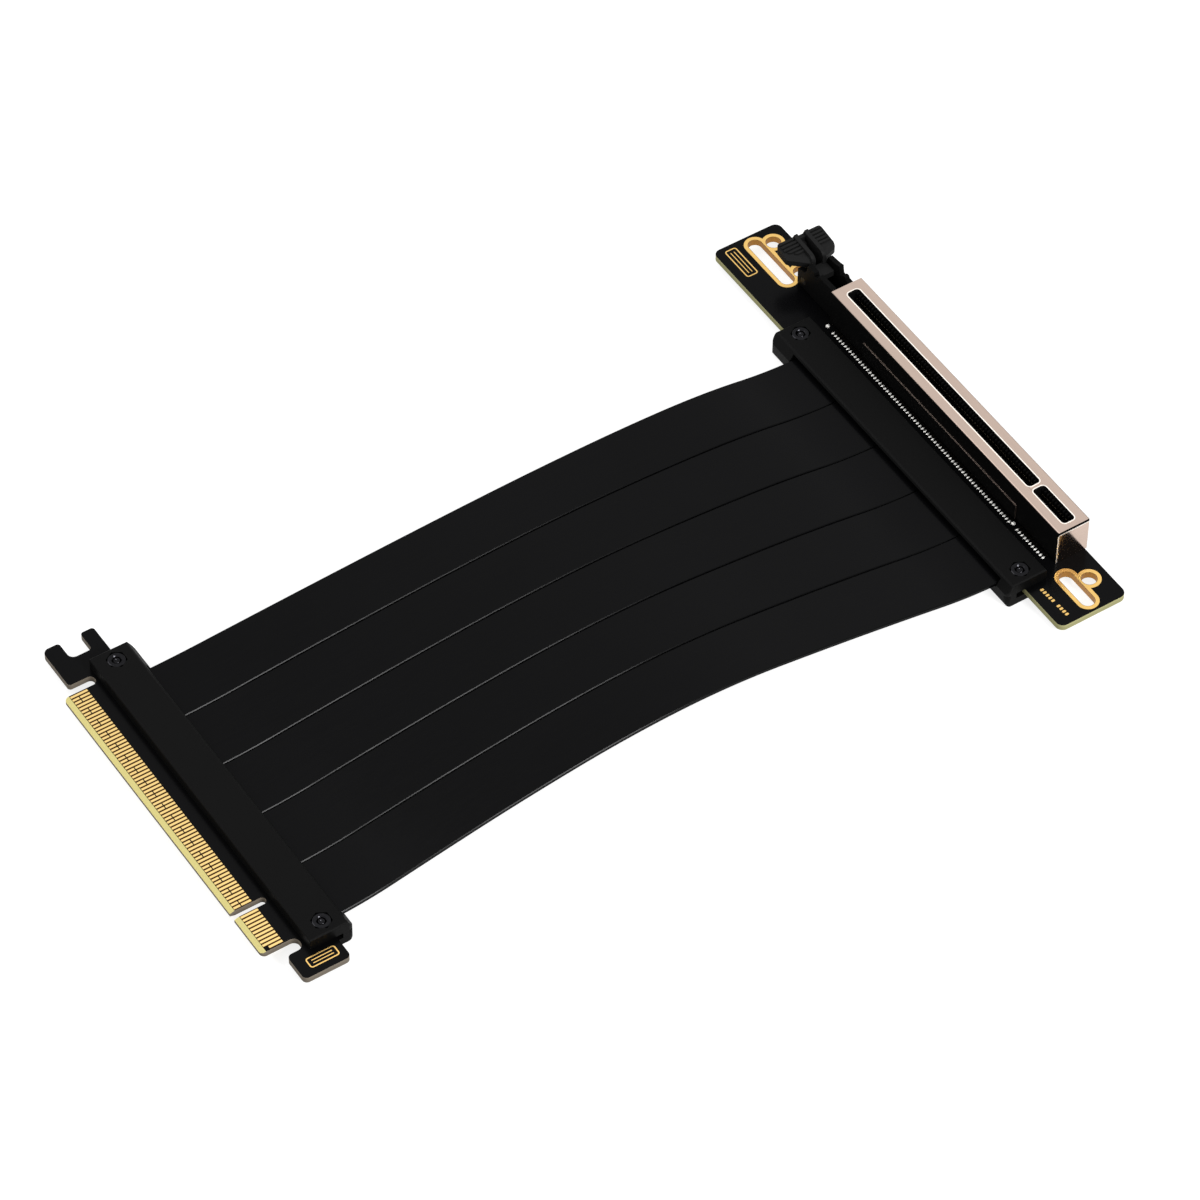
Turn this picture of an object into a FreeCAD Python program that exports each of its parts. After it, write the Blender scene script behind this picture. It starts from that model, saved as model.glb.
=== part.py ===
import FreeCAD
import Part
import math
import os

from FreeCAD import Vector

# Extension cable for an expansion card: a card-edge plug and a card slot, joined by
# five flat ribbons. It lies on the undersides of its two clamps. X runs along the
# cable from the plug to the slot, Y across it, Z up. Millimetres.

# Contacts of the card edge and of the slot
PIN_PITCH = 1.0
SHORT_GROUP_PINS = 11
LONG_GROUP_PINS = 71
KEY_STEP = 3.0

# Boards
BOARD_THICKNESS = 1.6
TONGUE_MARGIN = 0.65
TIP_BEVEL_LENGTH = 1.2
TIP_BEVEL_DEPTH = 0.4
TIP_CORNER_RADIUS = 1.0
KEY_NOTCH_WIDTH = 1.9
KEY_NOTCH_DEPTH = 8.4
KEY_END_ROUND_SHARE = 0.99
RELIEF_DEPTH = 8.6
FAR_RELIEF_WIDTH = 2.6
NEAR_RELIEF_WIDTH = 3.4
RELIEF_ROUND_SHARE = 0.9
TAB_SETBACK = 4.2
TAB_LENGTH = 7.5
TAB_CORNER_RADIUS = 1.2
PLUG_BOARD_DEPTH = 15.8
HOOK_SETBACK = 2.7
HOOK_LENGTH = 12.0
HOOK_NOTCH_START = 7.0
HOOK_NOTCH_WIDTH = 5.4
HOOK_NOTCH_DEPTH = 5.4
HOOK_TIP_RADIUS = 1.6
HOOK_CORNER_RADIUS = 0.8
SOCKET_BOARD_NEAR = 19.0
SOCKET_BOARD_FAR = 37.1
SOCKET_BOARD_EDGE = 8.9
SOCKET_BOARD_OUTER = 3.85
SOCKET_CORNER_RADIUS = 1.8

# Gold fingers of the card edge
FINGER_WIDTH = 0.7
FINGER_LENGTH = 4.3
FINGER_START = 1.3
FINGER_PLATE = 0.05
FIRST_FINGER_SETBACK = 1.0
SPLIT_TIP_LENGTH = 1.65
SPLIT_GAP = 0.25
SPLIT_CYCLE = 4
SPLIT_PLACES = (1, 2)

# Slots and holes of the socket board, by their reach past the contact rows
MOUNT_HOLE_RADIUS = 1.9
MOUNT_HOLE_OFFSET = 5.05
NEAR_HOLE_REACH = 10.7
FAR_HOLE_REACH = 32.1
INNER_FAR_HOLE_REACH = 20.6
MOUNT_SLOT_WIDTH = 3.7
MOUNT_SLOT_OFFSET = 0.9
NEAR_SLOT_REACH = 11.7
NEAR_SLOT_LENGTH = 11.6
FAR_SLOT_REACH = 27.0
FAR_SLOT_LENGTH = 16.9

# Clamps at both ends of the cable
CLAMP_OVERHANG = 5.4
CLAMP_TOP_DEPTH = 9.4
CLAMP_DEPTH = 11.0
UPPER_COVER_HEIGHT = 3.0
LOWER_COVER_HEIGHT = 2.0
COVER_NOSE_HEIGHT = 0.5
COVER_WALL = 1.2
COVER_ROOF = 1.0
COVER_EDGE_BEVEL = 0.3
COVER_CORNER_RADIUS = 1.2
LOWER_EDGE_RADIUS = 1.6
MOUTH_LIP = 0.7
MOUTH_DEPTH = 1.5
BOARD_INSET = 7.9
SCREW_NOTCH_MARGIN = 0.4
BOARD_CLEARANCE = 0.3
RIBBON_CLEARANCE = 0.15
TIP_TO_CLAMP = 9.3
CLAMP_TO_ROW = 3.0

# Screws and nuts of the clamps
SCREW_END_MARGIN = 3.5
SCREW_INSET = 5.0
SCREW_RADIUS = 1.0
SCREW_HOLE_RADIUS = 1.1
SCREW_HEAD_RADIUS = 1.9
HEAD_RECESS = 0.1
SCREW_END_SETBACK = 0.3
NUT_SIDES = 6
NUT_WIDTH = 4.0
NUT_HEIGHT = 1.6
NUT_THREAD_CLEARANCE = 0.02
NUT_CLEARANCE = 0.12

# Ribbons
RIBBON_COUNT = 5
RIBBON_GAP = 0.25
RIBBON_THICKNESS = 0.9
CABLE_NEAR_MARGIN = 4.35
CABLE_FAR_MARGIN = 7.95
CABLE_SPAN = 171.3
RIBBON_INSET = 6.3

# Route of the cable's two edges between the clamps:
# share of the span, rise of the near edge, rise of the far edge
ROUTE = [
    (0.0245, 0.0, 0.0),
    (0.127, 3.5, 1.2),
    (0.267, 8.0, 2.6),
    (0.430, 11.6, 4.0),
    (0.582, 11.7, 4.9),
    (0.734, 7.6, 4.9),
    (0.862, 3.6, 3.6),
    (0.970, 0.0, 0.0),
]
ROUTE_ARC_SHARE = 0.45

# Card slot
SLOT_OFFSET = 5.75
SLOT_WIDTH = 1.75
SLOT_END_CLEARANCE = 0.25
SLOT_FLOOR = 1.9
KEY_CLEARANCE = 0.1
CELL_DEPTH = 0.68
HOUSING_STANDOFF = 0.3
HOUSING_FOOT_LENGTH = 1.2
SHIELD_NEAR_WALL = 2.0
SHIELD_FAR_WALL = 2.7
SHIELD_WIDTH = 8.7
SHIELD_HEIGHT = 10.0
SHIELD_SHEET = 0.3
SHIELD_BEND_RADIUS = 0.35
WINDOW_END_MARGIN = 0.3
WINDOW_SIDE_MARGIN = 0.15
WINDOW_CORNER_RADIUS = 0.9
SHIELD_FOOT_LENGTH = 1.3
SHIELD_SKIRT_CLEARANCE = 0.5
SIDE_PANEL_HEIGHT = 5.1
SIDE_PANEL_STEP = 0.3
SIDE_PANEL_NEAR = 12.6
SIDE_PANEL_FAR = 10.1
END_PLATE_DROP = 0.85
END_PLATE_GAP = 0.2

# Sprung contacts of the slot
CONTACT_WIDTH = 0.5
CONTACT_SHEET = 0.15
CONTACT_FOOT_REACH = 0.6
CONTACT_TIP_HEIGHT = 8.2
CONTACT_NIP_GAP = 1.2

# Retention latch and the fork that carries it
FORK_GAP = 4.4
FORK_ARM = 1.3
FORK_SHOULDER_HEIGHT = 6.2
FORK_SHOULDER_SETBACK = 0.9
FORK_END_HEIGHT = 5.0
FORK_END_REACH = 2.3
LATCH_PIVOT_REACH = 12.2
LATCH_PIVOT_HEIGHT = 2.6
LATCH_SIDE_CLEARANCE = 0.2
LATCH_CARD_GAP = 2.0
LATCH_BARREL_RADIUS = 1.9
TRUNNION_RADIUS = 1.0
TRUNNION_CLEARANCE = 0.05
CHEEK_FRONT_REACH = 1.3
CHEEK_FRONT_HEIGHT = 7.4
CHEEK_HEIGHT = 10.4
CHEEK_RISE = 0.5
CHEEK_ROUND_RADIUS = 1.8
CHEEK_REAR_REACH = 7.0
CHEEK_REAR_FOOT = 8.0
CHEEK_REAR_TOP = 10.2
PEAK_HEIGHT = 11.5
PEAK_START = 1.2
PEAK_SETBACK = 0.5
BACK_WALL = 1.1
BACK_WALL_TOP = 10.1
LATCH_CLAW_REACH = 4.6
LATCH_CLAW_ROOT = 0.8
LATCH_CLAW_HEIGHT = 7.0
LATCH_CLAW_THICKNESS = 0.9
LATCH_CLAW_LIP = 0.7
LATCH_CLAW_LIP_LENGTH = 0.9
EAR_FRONT_REACH = 0.9
EAR_LENGTH = 7.9
EAR_SPREAD = 5.75
EAR_SLANT = 1.2
CABLE_SIDE_EAR_SPREAD = 6.7
CABLE_SIDE_EAR_SLANT = 3.6
EAR_HEIGHT = 9.3
EAR_RISE = 1.1
EAR_THICKNESS = 2.4
EAR_LIP = 0.9
EAR_CORNER_RADIUS = 0.9
RIB_COUNT = 5
RIB_WIDTH = 0.55
RIB_HEIGHT = 0.35
RIB_PITCH = 1.0
RIB_START = 3.0
RIB_END_MARGIN = 0.4
RIB_FRONT_MARGIN = 1.6

# Tops of the fork's two arms: reach past the shield, height over the board
CABLE_SIDE_ARM = [
    (0.0, 9.4),
    (6.3, 9.2),
    (6.6, 7.9),
    (7.6, 7.9),
    (7.9, 8.9),
    (10.6, 9.0),
]
OUTER_ARM = [
    (0.0, 7.3),
    (3.3, 7.4),
    (3.7, 8.1),
    (4.6, 7.9),
    (4.9, 7.3),
    (5.6, 7.4),
    (6.0, 9.6),
    (7.2, 9.2),
    (10.6, 8.8),
]

# Distance below which two places count as the same
SAME_PLACE = 1e-6

# Levels
BOARD_BOTTOM = LOWER_COVER_HEIGHT
BOARD_TOP = BOARD_BOTTOM + BOARD_THICKNESS
CLAMP_TOP = BOARD_TOP + UPPER_COVER_HEIGHT
RIBBON_LEVEL = BOARD_TOP + RIBBON_THICKNESS / 2
SHIELD_TOP = BOARD_TOP + SHIELD_HEIGHT
HOUSING_TOP = SHIELD_TOP - SHIELD_SHEET

# Stations along the cable, with the origin at the middle of the length
TOTAL_LENGTH = (
    TIP_TO_CLAMP + 2 * CLAMP_DEPTH + CABLE_SPAN + CLAMP_TO_ROW + SLOT_OFFSET + EAR_SPREAD
)
TIP_X = -TOTAL_LENGTH / 2
PLUG_CLAMP_X = TIP_X + TIP_TO_CLAMP
PLUG_MOUTH_X = PLUG_CLAMP_X + CLAMP_DEPTH
SOCKET_MOUTH_X = PLUG_MOUTH_X + CABLE_SPAN
SOCKET_CLAMP_X = SOCKET_MOUTH_X + CLAMP_DEPTH
ROW_X = SOCKET_CLAMP_X + CLAMP_TO_ROW
SLOT_X = ROW_X + SLOT_OFFSET
MIRROR_X = (PLUG_CLAMP_X + SOCKET_CLAMP_X) / 2

# Stations across the cable, from the middle of the contact rows
PIN_SPAN = (SHORT_GROUP_PINS + LONG_GROUP_PINS - 2) * PIN_PITCH + KEY_STEP
MID_Y = (SOCKET_BOARD_NEAR - SOCKET_BOARD_FAR) / 2
FIRST_PIN_Y = MID_Y - PIN_SPAN / 2
LAST_PIN_Y = MID_Y + PIN_SPAN / 2
KEY_Y = FIRST_PIN_Y + (SHORT_GROUP_PINS - 1) * PIN_PITCH + KEY_STEP / 2
CLAMP_NEAR_Y = FIRST_PIN_Y - CLAMP_OVERHANG
CLAMP_FAR_Y = LAST_PIN_Y + CLAMP_OVERHANG
SCREW_PLACES = (CLAMP_NEAR_Y + SCREW_END_MARGIN, CLAMP_FAR_Y - SCREW_END_MARGIN)
CABLE_NEAR_Y = CLAMP_NEAR_Y + CABLE_NEAR_MARGIN
CABLE_FAR_Y = CLAMP_FAR_Y - CABLE_FAR_MARGIN
RIBBON_WIDTH = (CABLE_FAR_Y - CABLE_NEAR_Y - (RIBBON_COUNT - 1) * RIBBON_GAP) / RIBBON_COUNT
SLOT_NEAR_Y = FIRST_PIN_Y - TONGUE_MARGIN - SLOT_END_CLEARANCE
SLOT_FAR_Y = LAST_PIN_Y + TONGUE_MARGIN + SLOT_END_CLEARANCE
KEY_WALL = KEY_NOTCH_WIDTH - 2 * KEY_CLEARANCE
CELL_WIDTH = SLOT_WIDTH + 2 * CELL_DEPTH
SHIELD_NEAR_Y = SLOT_NEAR_Y - SHIELD_NEAR_WALL
SHIELD_FAR_Y = SLOT_FAR_Y + SHIELD_FAR_WALL


def level(z):
    """Places an outline on a level plane."""
    return lambda x, y: Vector(x, y, z)


def across(y):
    """Places an outline of X and Z on an upright plane across the width."""
    return lambda x, z: Vector(x, y, z)


def along(x):
    """Places an outline of Y and Z on an upright plane along the rows."""
    return lambda y, z: Vector(x, y, z)


def outline(corners, place):
    """A closed wire through corners (a, b, radius), each rounded to its radius."""
    points = [place(a, b) for a, b, _ in corners]
    entries, exits, middles = [], [], []
    for i, (_, _, radius) in enumerate(corners):
        back = (points[i - 1] - points[i]).normalize()
        ahead = (points[(i + 1) % len(points)] - points[i]).normalize()
        half = back.getAngle(ahead) / 2
        cut = radius / math.tan(half)
        bisector = (back + ahead).normalize()
        entries.append(points[i] + back * cut)
        exits.append(points[i] + ahead * cut)
        middles.append(points[i] + bisector * (radius / math.sin(half) - radius))
    edges = []
    for i, (_, _, radius) in enumerate(corners):
        if radius > 0:
            edges.append(Part.Arc(entries[i], middles[i], exits[i]).toShape())
        following = entries[(i + 1) % len(points)]
        if exits[i].distanceToPoint(following) > SAME_PLACE:
            edges.append(Part.LineSegment(exits[i], following).toShape())
    return Part.Wire(edges)


def prism(corners, place, sweep):
    """A rounded outline drawn out along a vector."""
    return Part.Face(outline(corners, place)).extrude(sweep)


def sharp(*points):
    """Corners with no rounding."""
    return [(a, b, 0) for a, b in points]


def block(x_range, y_range, z_range):
    """A box between two limits on each axis."""
    size = [high - low for low, high in (x_range, y_range, z_range)]
    return Part.makeBox(*size, Vector(x_range[0], y_range[0], z_range[0]))


def post(x, y, z_range, radius):
    """An upright cylinder."""
    return Part.makeCylinder(radius, z_range[1] - z_range[0], Vector(x, y, z_range[0]))


def stadium(x, y, width, length, z_range):
    """An upright plug with round ends, long in Y."""
    half, reach = width / 2, (length - width) / 2
    body = block((x - half, x + half), (y - reach, y + reach), z_range)
    ends = [post(x, y + side * reach, z_range, half) for side in (-1, 1)]
    return body.multiFuse(ends).removeSplitter()


def joined(shapes):
    """Overlapping shapes as one clean solid."""
    return shapes[0].multiFuse(shapes[1:]).removeSplitter()


def rounded_edges(shape, radius, choose):
    """The shape with the chosen edges rounded."""
    return shape.makeFillet(radius, [edge for edge in shape.Edges if choose(edge)])


def pin_places():
    """The Y of each contact, from the near end, across the key."""
    near = [FIRST_PIN_Y + i * PIN_PITCH for i in range(SHORT_GROUP_PINS)]
    far = [near[-1] + KEY_STEP + i * PIN_PITCH for i in range(LONG_GROUP_PINS)]
    return near, far


# Plug end


def plug_board():
    """Board with the bevelled tongue, the key notch, the near tab and the hook."""
    tongue_near = FIRST_PIN_Y - TONGUE_MARGIN
    tongue_far = LAST_PIN_Y + TONGUE_MARGIN
    relief_x = TIP_X + RELIEF_DEPTH
    back_x = TIP_X + PLUG_BOARD_DEPTH
    key_x = TIP_X + KEY_NOTCH_DEPTH
    key_near = KEY_Y - KEY_NOTCH_WIDTH / 2
    key_far = KEY_Y + KEY_NOTCH_WIDTH / 2
    key_end_radius = KEY_NOTCH_WIDTH / 2 * KEY_END_ROUND_SHARE
    near_relief_radius = NEAR_RELIEF_WIDTH / 2 * RELIEF_ROUND_SHARE
    far_relief_radius = FAR_RELIEF_WIDTH / 2 * RELIEF_ROUND_SHARE
    tab_edge = tongue_near - NEAR_RELIEF_WIDTH
    tab_x = TIP_X + TAB_SETBACK
    tab_end = tab_edge - TAB_LENGTH
    hook_edge = tongue_far + FAR_RELIEF_WIDTH
    hook_x = TIP_X + HOOK_SETBACK
    hook_end = hook_edge + HOOK_LENGTH
    notch_x = TIP_X + HOOK_NOTCH_START
    notch_end_x = notch_x + HOOK_NOTCH_WIDTH
    notch_floor = hook_end - HOOK_NOTCH_DEPTH
    corners = [
        (TIP_X, tongue_near, TIP_CORNER_RADIUS),
        (TIP_X, key_near, 0),
        (key_x, key_near, key_end_radius),
        (key_x, key_far, key_end_radius),
        (TIP_X, key_far, 0),
        (TIP_X, tongue_far, TIP_CORNER_RADIUS),
        (relief_x, tongue_far, far_relief_radius),
        (relief_x, hook_edge, far_relief_radius),
        (hook_x, hook_edge, HOOK_CORNER_RADIUS),
        (hook_x, hook_end, HOOK_TIP_RADIUS),
        (notch_x, hook_end, HOOK_CORNER_RADIUS),
        (notch_x, notch_floor, HOOK_TIP_RADIUS),
        (notch_end_x, notch_floor, HOOK_CORNER_RADIUS),
        (notch_end_x, hook_end, HOOK_CORNER_RADIUS),
        (back_x, hook_end, HOOK_CORNER_RADIUS),
        *reversed(clamped_edge(PLUG_CLAMP_X, 1, back_x)),
        (back_x, tab_end, TAB_CORNER_RADIUS),
        (tab_x, tab_end, TAB_CORNER_RADIUS),
        (tab_x, tab_edge, TAB_CORNER_RADIUS),
        (relief_x, tab_edge, near_relief_radius),
        (relief_x, tongue_near, near_relief_radius),
    ]
    board = prism(corners, level(BOARD_BOTTOM), Vector(0, 0, BOARD_THICKNESS))
    cuts = []
    for surface, inward in ((BOARD_TOP, -1), (BOARD_BOTTOM, 1)):
        wedge = sharp(
            (TIP_X, surface),
            (TIP_X + TIP_BEVEL_LENGTH, surface),
            (TIP_X, surface + inward * TIP_BEVEL_DEPTH),
        )
        cuts.append(prism(wedge, across(tongue_near), Vector(0, tongue_far - tongue_near, 0)))
    return board.cut(cuts)


def clamped_edge(clamp_x, inward, edge_x):
    """Corners of a board's edge inside its clamp, near to far, with a notch at each screw."""
    reach = SCREW_HOLE_RADIUS + SCREW_NOTCH_MARGIN
    notch_x = clamp_x + inward * (SCREW_INSET - reach)
    inset_x = clamp_x + inward * BOARD_INSET
    near, far = SCREW_PLACES
    return sharp(
        (edge_x, near - reach),
        (notch_x, near - reach),
        (notch_x, near + reach),
        (inset_x, near + reach),
        (inset_x, far - reach),
        (notch_x, far - reach),
        (notch_x, far + reach),
        (edge_x, far + reach),
    )


def screw_hole(x, y):
    """Clearance for a clamp screw through the whole stack."""
    return post(x, y, (0, CLAMP_TOP), SCREW_HOLE_RADIUS)


def finger(y, start, length, surface):
    """One gold finger, or a piece of one, on a face of the tongue."""
    x = TIP_X + start
    half = FINGER_WIDTH / 2
    low = BOARD_TOP if surface > 0 else BOARD_BOTTOM - FINGER_PLATE
    return block((x, x + length), (y - half, y + half), (low, low + FINGER_PLATE))


def plug_contacts(surface, split):
    """Gold fingers on one face: signal pairs are parted near the tip where split is set."""
    near, far = pin_places()
    short = FINGER_LENGTH - FIRST_FINGER_SETBACK
    plates = [finger(near[0], FINGER_START + FIRST_FINGER_SETBACK, short, surface)]
    plates += [finger(y, FINGER_START, FINGER_LENGTH, surface) for y in near[1:]]
    rest = SPLIT_TIP_LENGTH + SPLIT_GAP
    for i, y in enumerate(reversed(far)):
        if split and i % SPLIT_CYCLE in SPLIT_PLACES:
            plates.append(finger(y, FINGER_START, SPLIT_TIP_LENGTH, surface))
            plates.append(finger(y, FINGER_START + rest, FINGER_LENGTH - rest, surface))
        else:
            plates.append(finger(y, FINGER_START, FINGER_LENGTH, surface))
    return Part.makeCompound(plates)


# Clamps, drawn at the plug end and mirrored for the socket end


def clamp_plan():
    """The clamp's plan, rounded at its two cable-side corners."""
    corners = [
        (PLUG_CLAMP_X, CLAMP_NEAR_Y, 0),
        (PLUG_CLAMP_X, CLAMP_FAR_Y, 0),
        (PLUG_MOUTH_X, CLAMP_FAR_Y, COVER_CORNER_RADIUS),
        (PLUG_MOUTH_X, CLAMP_NEAR_Y, COVER_CORNER_RADIUS),
    ]
    return prism(corners, level(0), Vector(0, 0, CLAMP_TOP))


def upper_cover():
    """Upper shell: sloping nose, wide cable mouth, solder chamber and nut pockets."""
    nose_z = BOARD_TOP + COVER_NOSE_HEIGHT
    section = sharp(
        (PLUG_CLAMP_X, BOARD_TOP),
        (PLUG_CLAMP_X, CLAMP_TOP),
        (PLUG_CLAMP_X + CLAMP_TOP_DEPTH, CLAMP_TOP),
        (PLUG_MOUTH_X, nose_z),
        (PLUG_MOUTH_X, BOARD_TOP),
    )
    cover = prism(section, across(CLAMP_NEAR_Y), Vector(0, CLAMP_FAR_Y - CLAMP_NEAR_Y, 0))
    top_edges = [edge for edge in cover.Edges if on_cover_top(edge)]
    cover = cover.makeChamfer(COVER_EDGE_BEVEL, top_edges).common(clamp_plan())
    mouth = (CABLE_NEAR_Y - BOARD_CLEARANCE, CABLE_FAR_Y + BOARD_CLEARANCE)
    channel_top = BOARD_TOP + RIBBON_THICKNESS + RIBBON_CLEARANCE
    lip_x = PLUG_CLAMP_X + CLAMP_TOP_DEPTH
    inner_x = lip_x - MOUTH_DEPTH
    flare = sharp(
        (inner_x, BOARD_TOP),
        (inner_x, channel_top),
        (lip_x, CLAMP_TOP - MOUTH_LIP),
        (PLUG_MOUTH_X, CLAMP_TOP - MOUTH_LIP),
        (PLUG_MOUTH_X, BOARD_TOP),
    )
    chamber_near = SCREW_PLACES[0] + NUT_WIDTH
    chamber_far = SCREW_PLACES[1] - NUT_WIDTH
    chamber = block(
        (PLUG_CLAMP_X + COVER_WALL, inner_x),
        (chamber_near, chamber_far),
        (BOARD_TOP, CLAMP_TOP - COVER_ROOF),
    )
    ribbon_x = PLUG_CLAMP_X + RIBBON_INSET - RIBBON_CLEARANCE
    channel = block((ribbon_x, inner_x), mouth, (BOARD_TOP, channel_top))
    cuts = [prism(flare, across(mouth[0]), Vector(0, mouth[1] - mouth[0], 0)), chamber, channel]
    for y in SCREW_PLACES:
        x = PLUG_CLAMP_X + SCREW_INSET
        cuts.append(hexagon(x, y, NUT_WIDTH + 2 * NUT_CLEARANCE, (CLAMP_TOP - NUT_HEIGHT, CLAMP_TOP)))
        cuts.append(screw_hole(x, y))
    return cover.cut(cuts)


def on_cover_top(edge):
    """The straight edges round the upper cover's top face."""
    low, high = edge.BoundBox.ZMin, edge.BoundBox.ZMax
    return abs(low - CLAMP_TOP) < SAME_PLACE and abs(high - CLAMP_TOP) < SAME_PLACE


def lower_cover():
    """Lower shell: floor under the board and a ledge under the ribbons."""
    ledge_x = PLUG_CLAMP_X + BOARD_INSET + BOARD_CLEARANCE
    section = [
        (PLUG_CLAMP_X, 0, 0),
        (PLUG_CLAMP_X, BOARD_BOTTOM, 0),
        (ledge_x, BOARD_BOTTOM, 0),
        (ledge_x, BOARD_TOP, 0),
        (PLUG_MOUTH_X, BOARD_TOP, 0),
        (PLUG_MOUTH_X, 0, LOWER_EDGE_RADIUS),
    ]
    cover = prism(section, across(CLAMP_NEAR_Y), Vector(0, CLAMP_FAR_Y - CLAMP_NEAR_Y, 0))
    cover = cover.common(clamp_plan())
    sink = HEAD_RECESS + SCREW_HEAD_RADIUS - SCREW_RADIUS
    cuts = []
    for y in SCREW_PLACES:
        x = PLUG_CLAMP_X + SCREW_INSET
        cuts.append(Part.makeCone(SCREW_HOLE_RADIUS + sink, SCREW_HOLE_RADIUS, sink, Vector(x, y, 0)))
        cuts.append(screw_hole(x, y))
    return cover.cut(cuts)


def hexagon(x, y, width, z_range):
    """An upright hexagonal plug, width across flats."""
    half_turn = math.pi / NUT_SIDES
    reach = width / 2 / math.cos(half_turn)
    turns = [half_turn * (2 * i + 1) for i in range(NUT_SIDES)]
    corners = sharp(*[(x + reach * math.cos(a), y + reach * math.sin(a)) for a in turns])
    return prism(corners, level(z_range[0]), Vector(0, 0, z_range[1] - z_range[0]))


def clamp_nuts():
    """Hexagonal nuts, flush in the pockets of the upper cover."""
    nuts = []
    for y in SCREW_PLACES:
        x = PLUG_CLAMP_X + SCREW_INSET
        z_range = (CLAMP_TOP - NUT_HEIGHT, CLAMP_TOP)
        bore = post(x, y, z_range, SCREW_RADIUS + NUT_THREAD_CLEARANCE)
        nuts.append(hexagon(x, y, NUT_WIDTH, z_range).cut(bore))
    return Part.makeCompound(nuts)


def clamp_screws():
    """Countersunk screws from the lower cover up into the nuts."""
    screws = []
    for y in SCREW_PLACES:
        x = PLUG_CLAMP_X + SCREW_INSET
        depth = SCREW_HEAD_RADIUS - SCREW_RADIUS
        head_top = HEAD_RECESS + depth
        head = Part.makeCone(SCREW_HEAD_RADIUS, SCREW_RADIUS, depth, Vector(x, y, HEAD_RECESS))
        shank = post(x, y, (head_top, CLAMP_TOP - SCREW_END_SETBACK), SCREW_RADIUS)
        screws.append(head.fuse(shank).removeSplitter())
    return Part.makeCompound(screws)


def socket_side(shape):
    """A clamp piece of the plug end, mirrored to the socket end."""
    return shape.mirror(Vector(MIRROR_X, 0, 0), Vector(1, 0, 0))


# Cable


def route_path(y, lift):
    """Edges along the cable at one place across its width: straight runs and tangent arcs."""
    share = (y - CABLE_NEAR_Y) / (CABLE_FAR_Y - CABLE_NEAR_Y)
    stations = [(PLUG_CLAMP_X + RIBBON_INSET, 0.0)]
    for at, near_rise, far_rise in ROUTE:
        stations.append((PLUG_MOUTH_X + at * CABLE_SPAN, near_rise + share * (far_rise - near_rise)))
    stations.append((SOCKET_CLAMP_X - RIBBON_INSET, 0.0))
    points = [Vector(x, y, RIBBON_LEVEL + rise + lift) for x, rise in stations]
    edges, start = [], points[0]
    for before, corner, after in zip(points, points[1:], points[2:]):
        cut = ROUTE_ARC_SHARE * min(corner.distanceToPoint(before), corner.distanceToPoint(after))
        back = (before - corner).normalize()
        ahead = (after - corner).normalize()
        half = back.getAngle(ahead) / 2
        radius = cut * math.tan(half)
        bisector = (back + ahead).normalize()
        middle = corner + bisector * (radius / math.sin(half) - radius)
        edges.append(Part.LineSegment(start, corner + back * cut).toShape())
        edges.append(Part.Arc(corner + back * cut, middle, corner + ahead * cut).toShape())
        start = corner + ahead * cut
    edges.append(Part.LineSegment(start, points[-1]).toShape())
    return edges


def ribbon_section(y):
    """The closed outline of the cable's thickness at one place across its width."""
    lower = route_path(y, -RIBBON_THICKNESS / 2)
    upper = route_path(y, RIBBON_THICKNESS / 2)
    rise = Vector(0, 0, RIBBON_THICKNESS)
    start = lower[0].Vertexes[0].Point
    end = lower[-1].Vertexes[-1].Point
    closing = [
        Part.LineSegment(end, end + rise).toShape(),
        Part.LineSegment(start + rise, start).toShape(),
    ]
    return Part.Wire(lower + closing[:1] + upper[::-1] + closing[1:])


def ribbon_edge(index):
    """The Y of a ribbon's near edge."""
    return CABLE_NEAR_Y + index * (RIBBON_WIDTH + RIBBON_GAP)


def ribbon(index):
    """One flat ribbon, ruled between the routes of its near and far edges."""
    near = ribbon_edge(index)
    return Part.makeLoft([ribbon_section(near), ribbon_section(near + RIBBON_WIDTH)], True, True)


def route_note(index, volume):
    """A line with a ribbon's length, bend radii, and volume against section times length."""
    edges = route_path(ribbon_edge(index) + RIBBON_WIDTH / 2, 0)
    radii = [edge.Curve.Radius for edge in edges if edge.Curve.TypeId == "Part::GeomCircle"]
    length = sum(edge.Length for edge in edges)
    share = volume / (RIBBON_WIDTH * RIBBON_THICKNESS * length)
    bends = " ".join("%.0f" % radius for radius in radii)
    return "ribbon %d: length %.1f, bend radii %s, volume share %.3f" % (index + 1, length, bends, share)


# Socket end


def mount_openings():
    """The mounting slots and holes at the near and the far end."""
    slot_x = ROW_X + MOUNT_SLOT_OFFSET
    hole_x = ROW_X + MOUNT_HOLE_OFFSET
    through = (BOARD_BOTTOM, BOARD_TOP)
    slots = [
        (FIRST_PIN_Y - NEAR_SLOT_REACH, NEAR_SLOT_LENGTH),
        (LAST_PIN_Y + FAR_SLOT_REACH, FAR_SLOT_LENGTH),
    ]
    holes = [
        FIRST_PIN_Y - NEAR_HOLE_REACH,
        LAST_PIN_Y + INNER_FAR_HOLE_REACH,
        LAST_PIN_Y + FAR_HOLE_REACH,
    ]
    cuts = [stadium(slot_x, y, MOUNT_SLOT_WIDTH, length, through) for y, length in slots]
    return cuts + [post(hole_x, y, through, MOUNT_HOLE_RADIUS) for y in holes]


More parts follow.
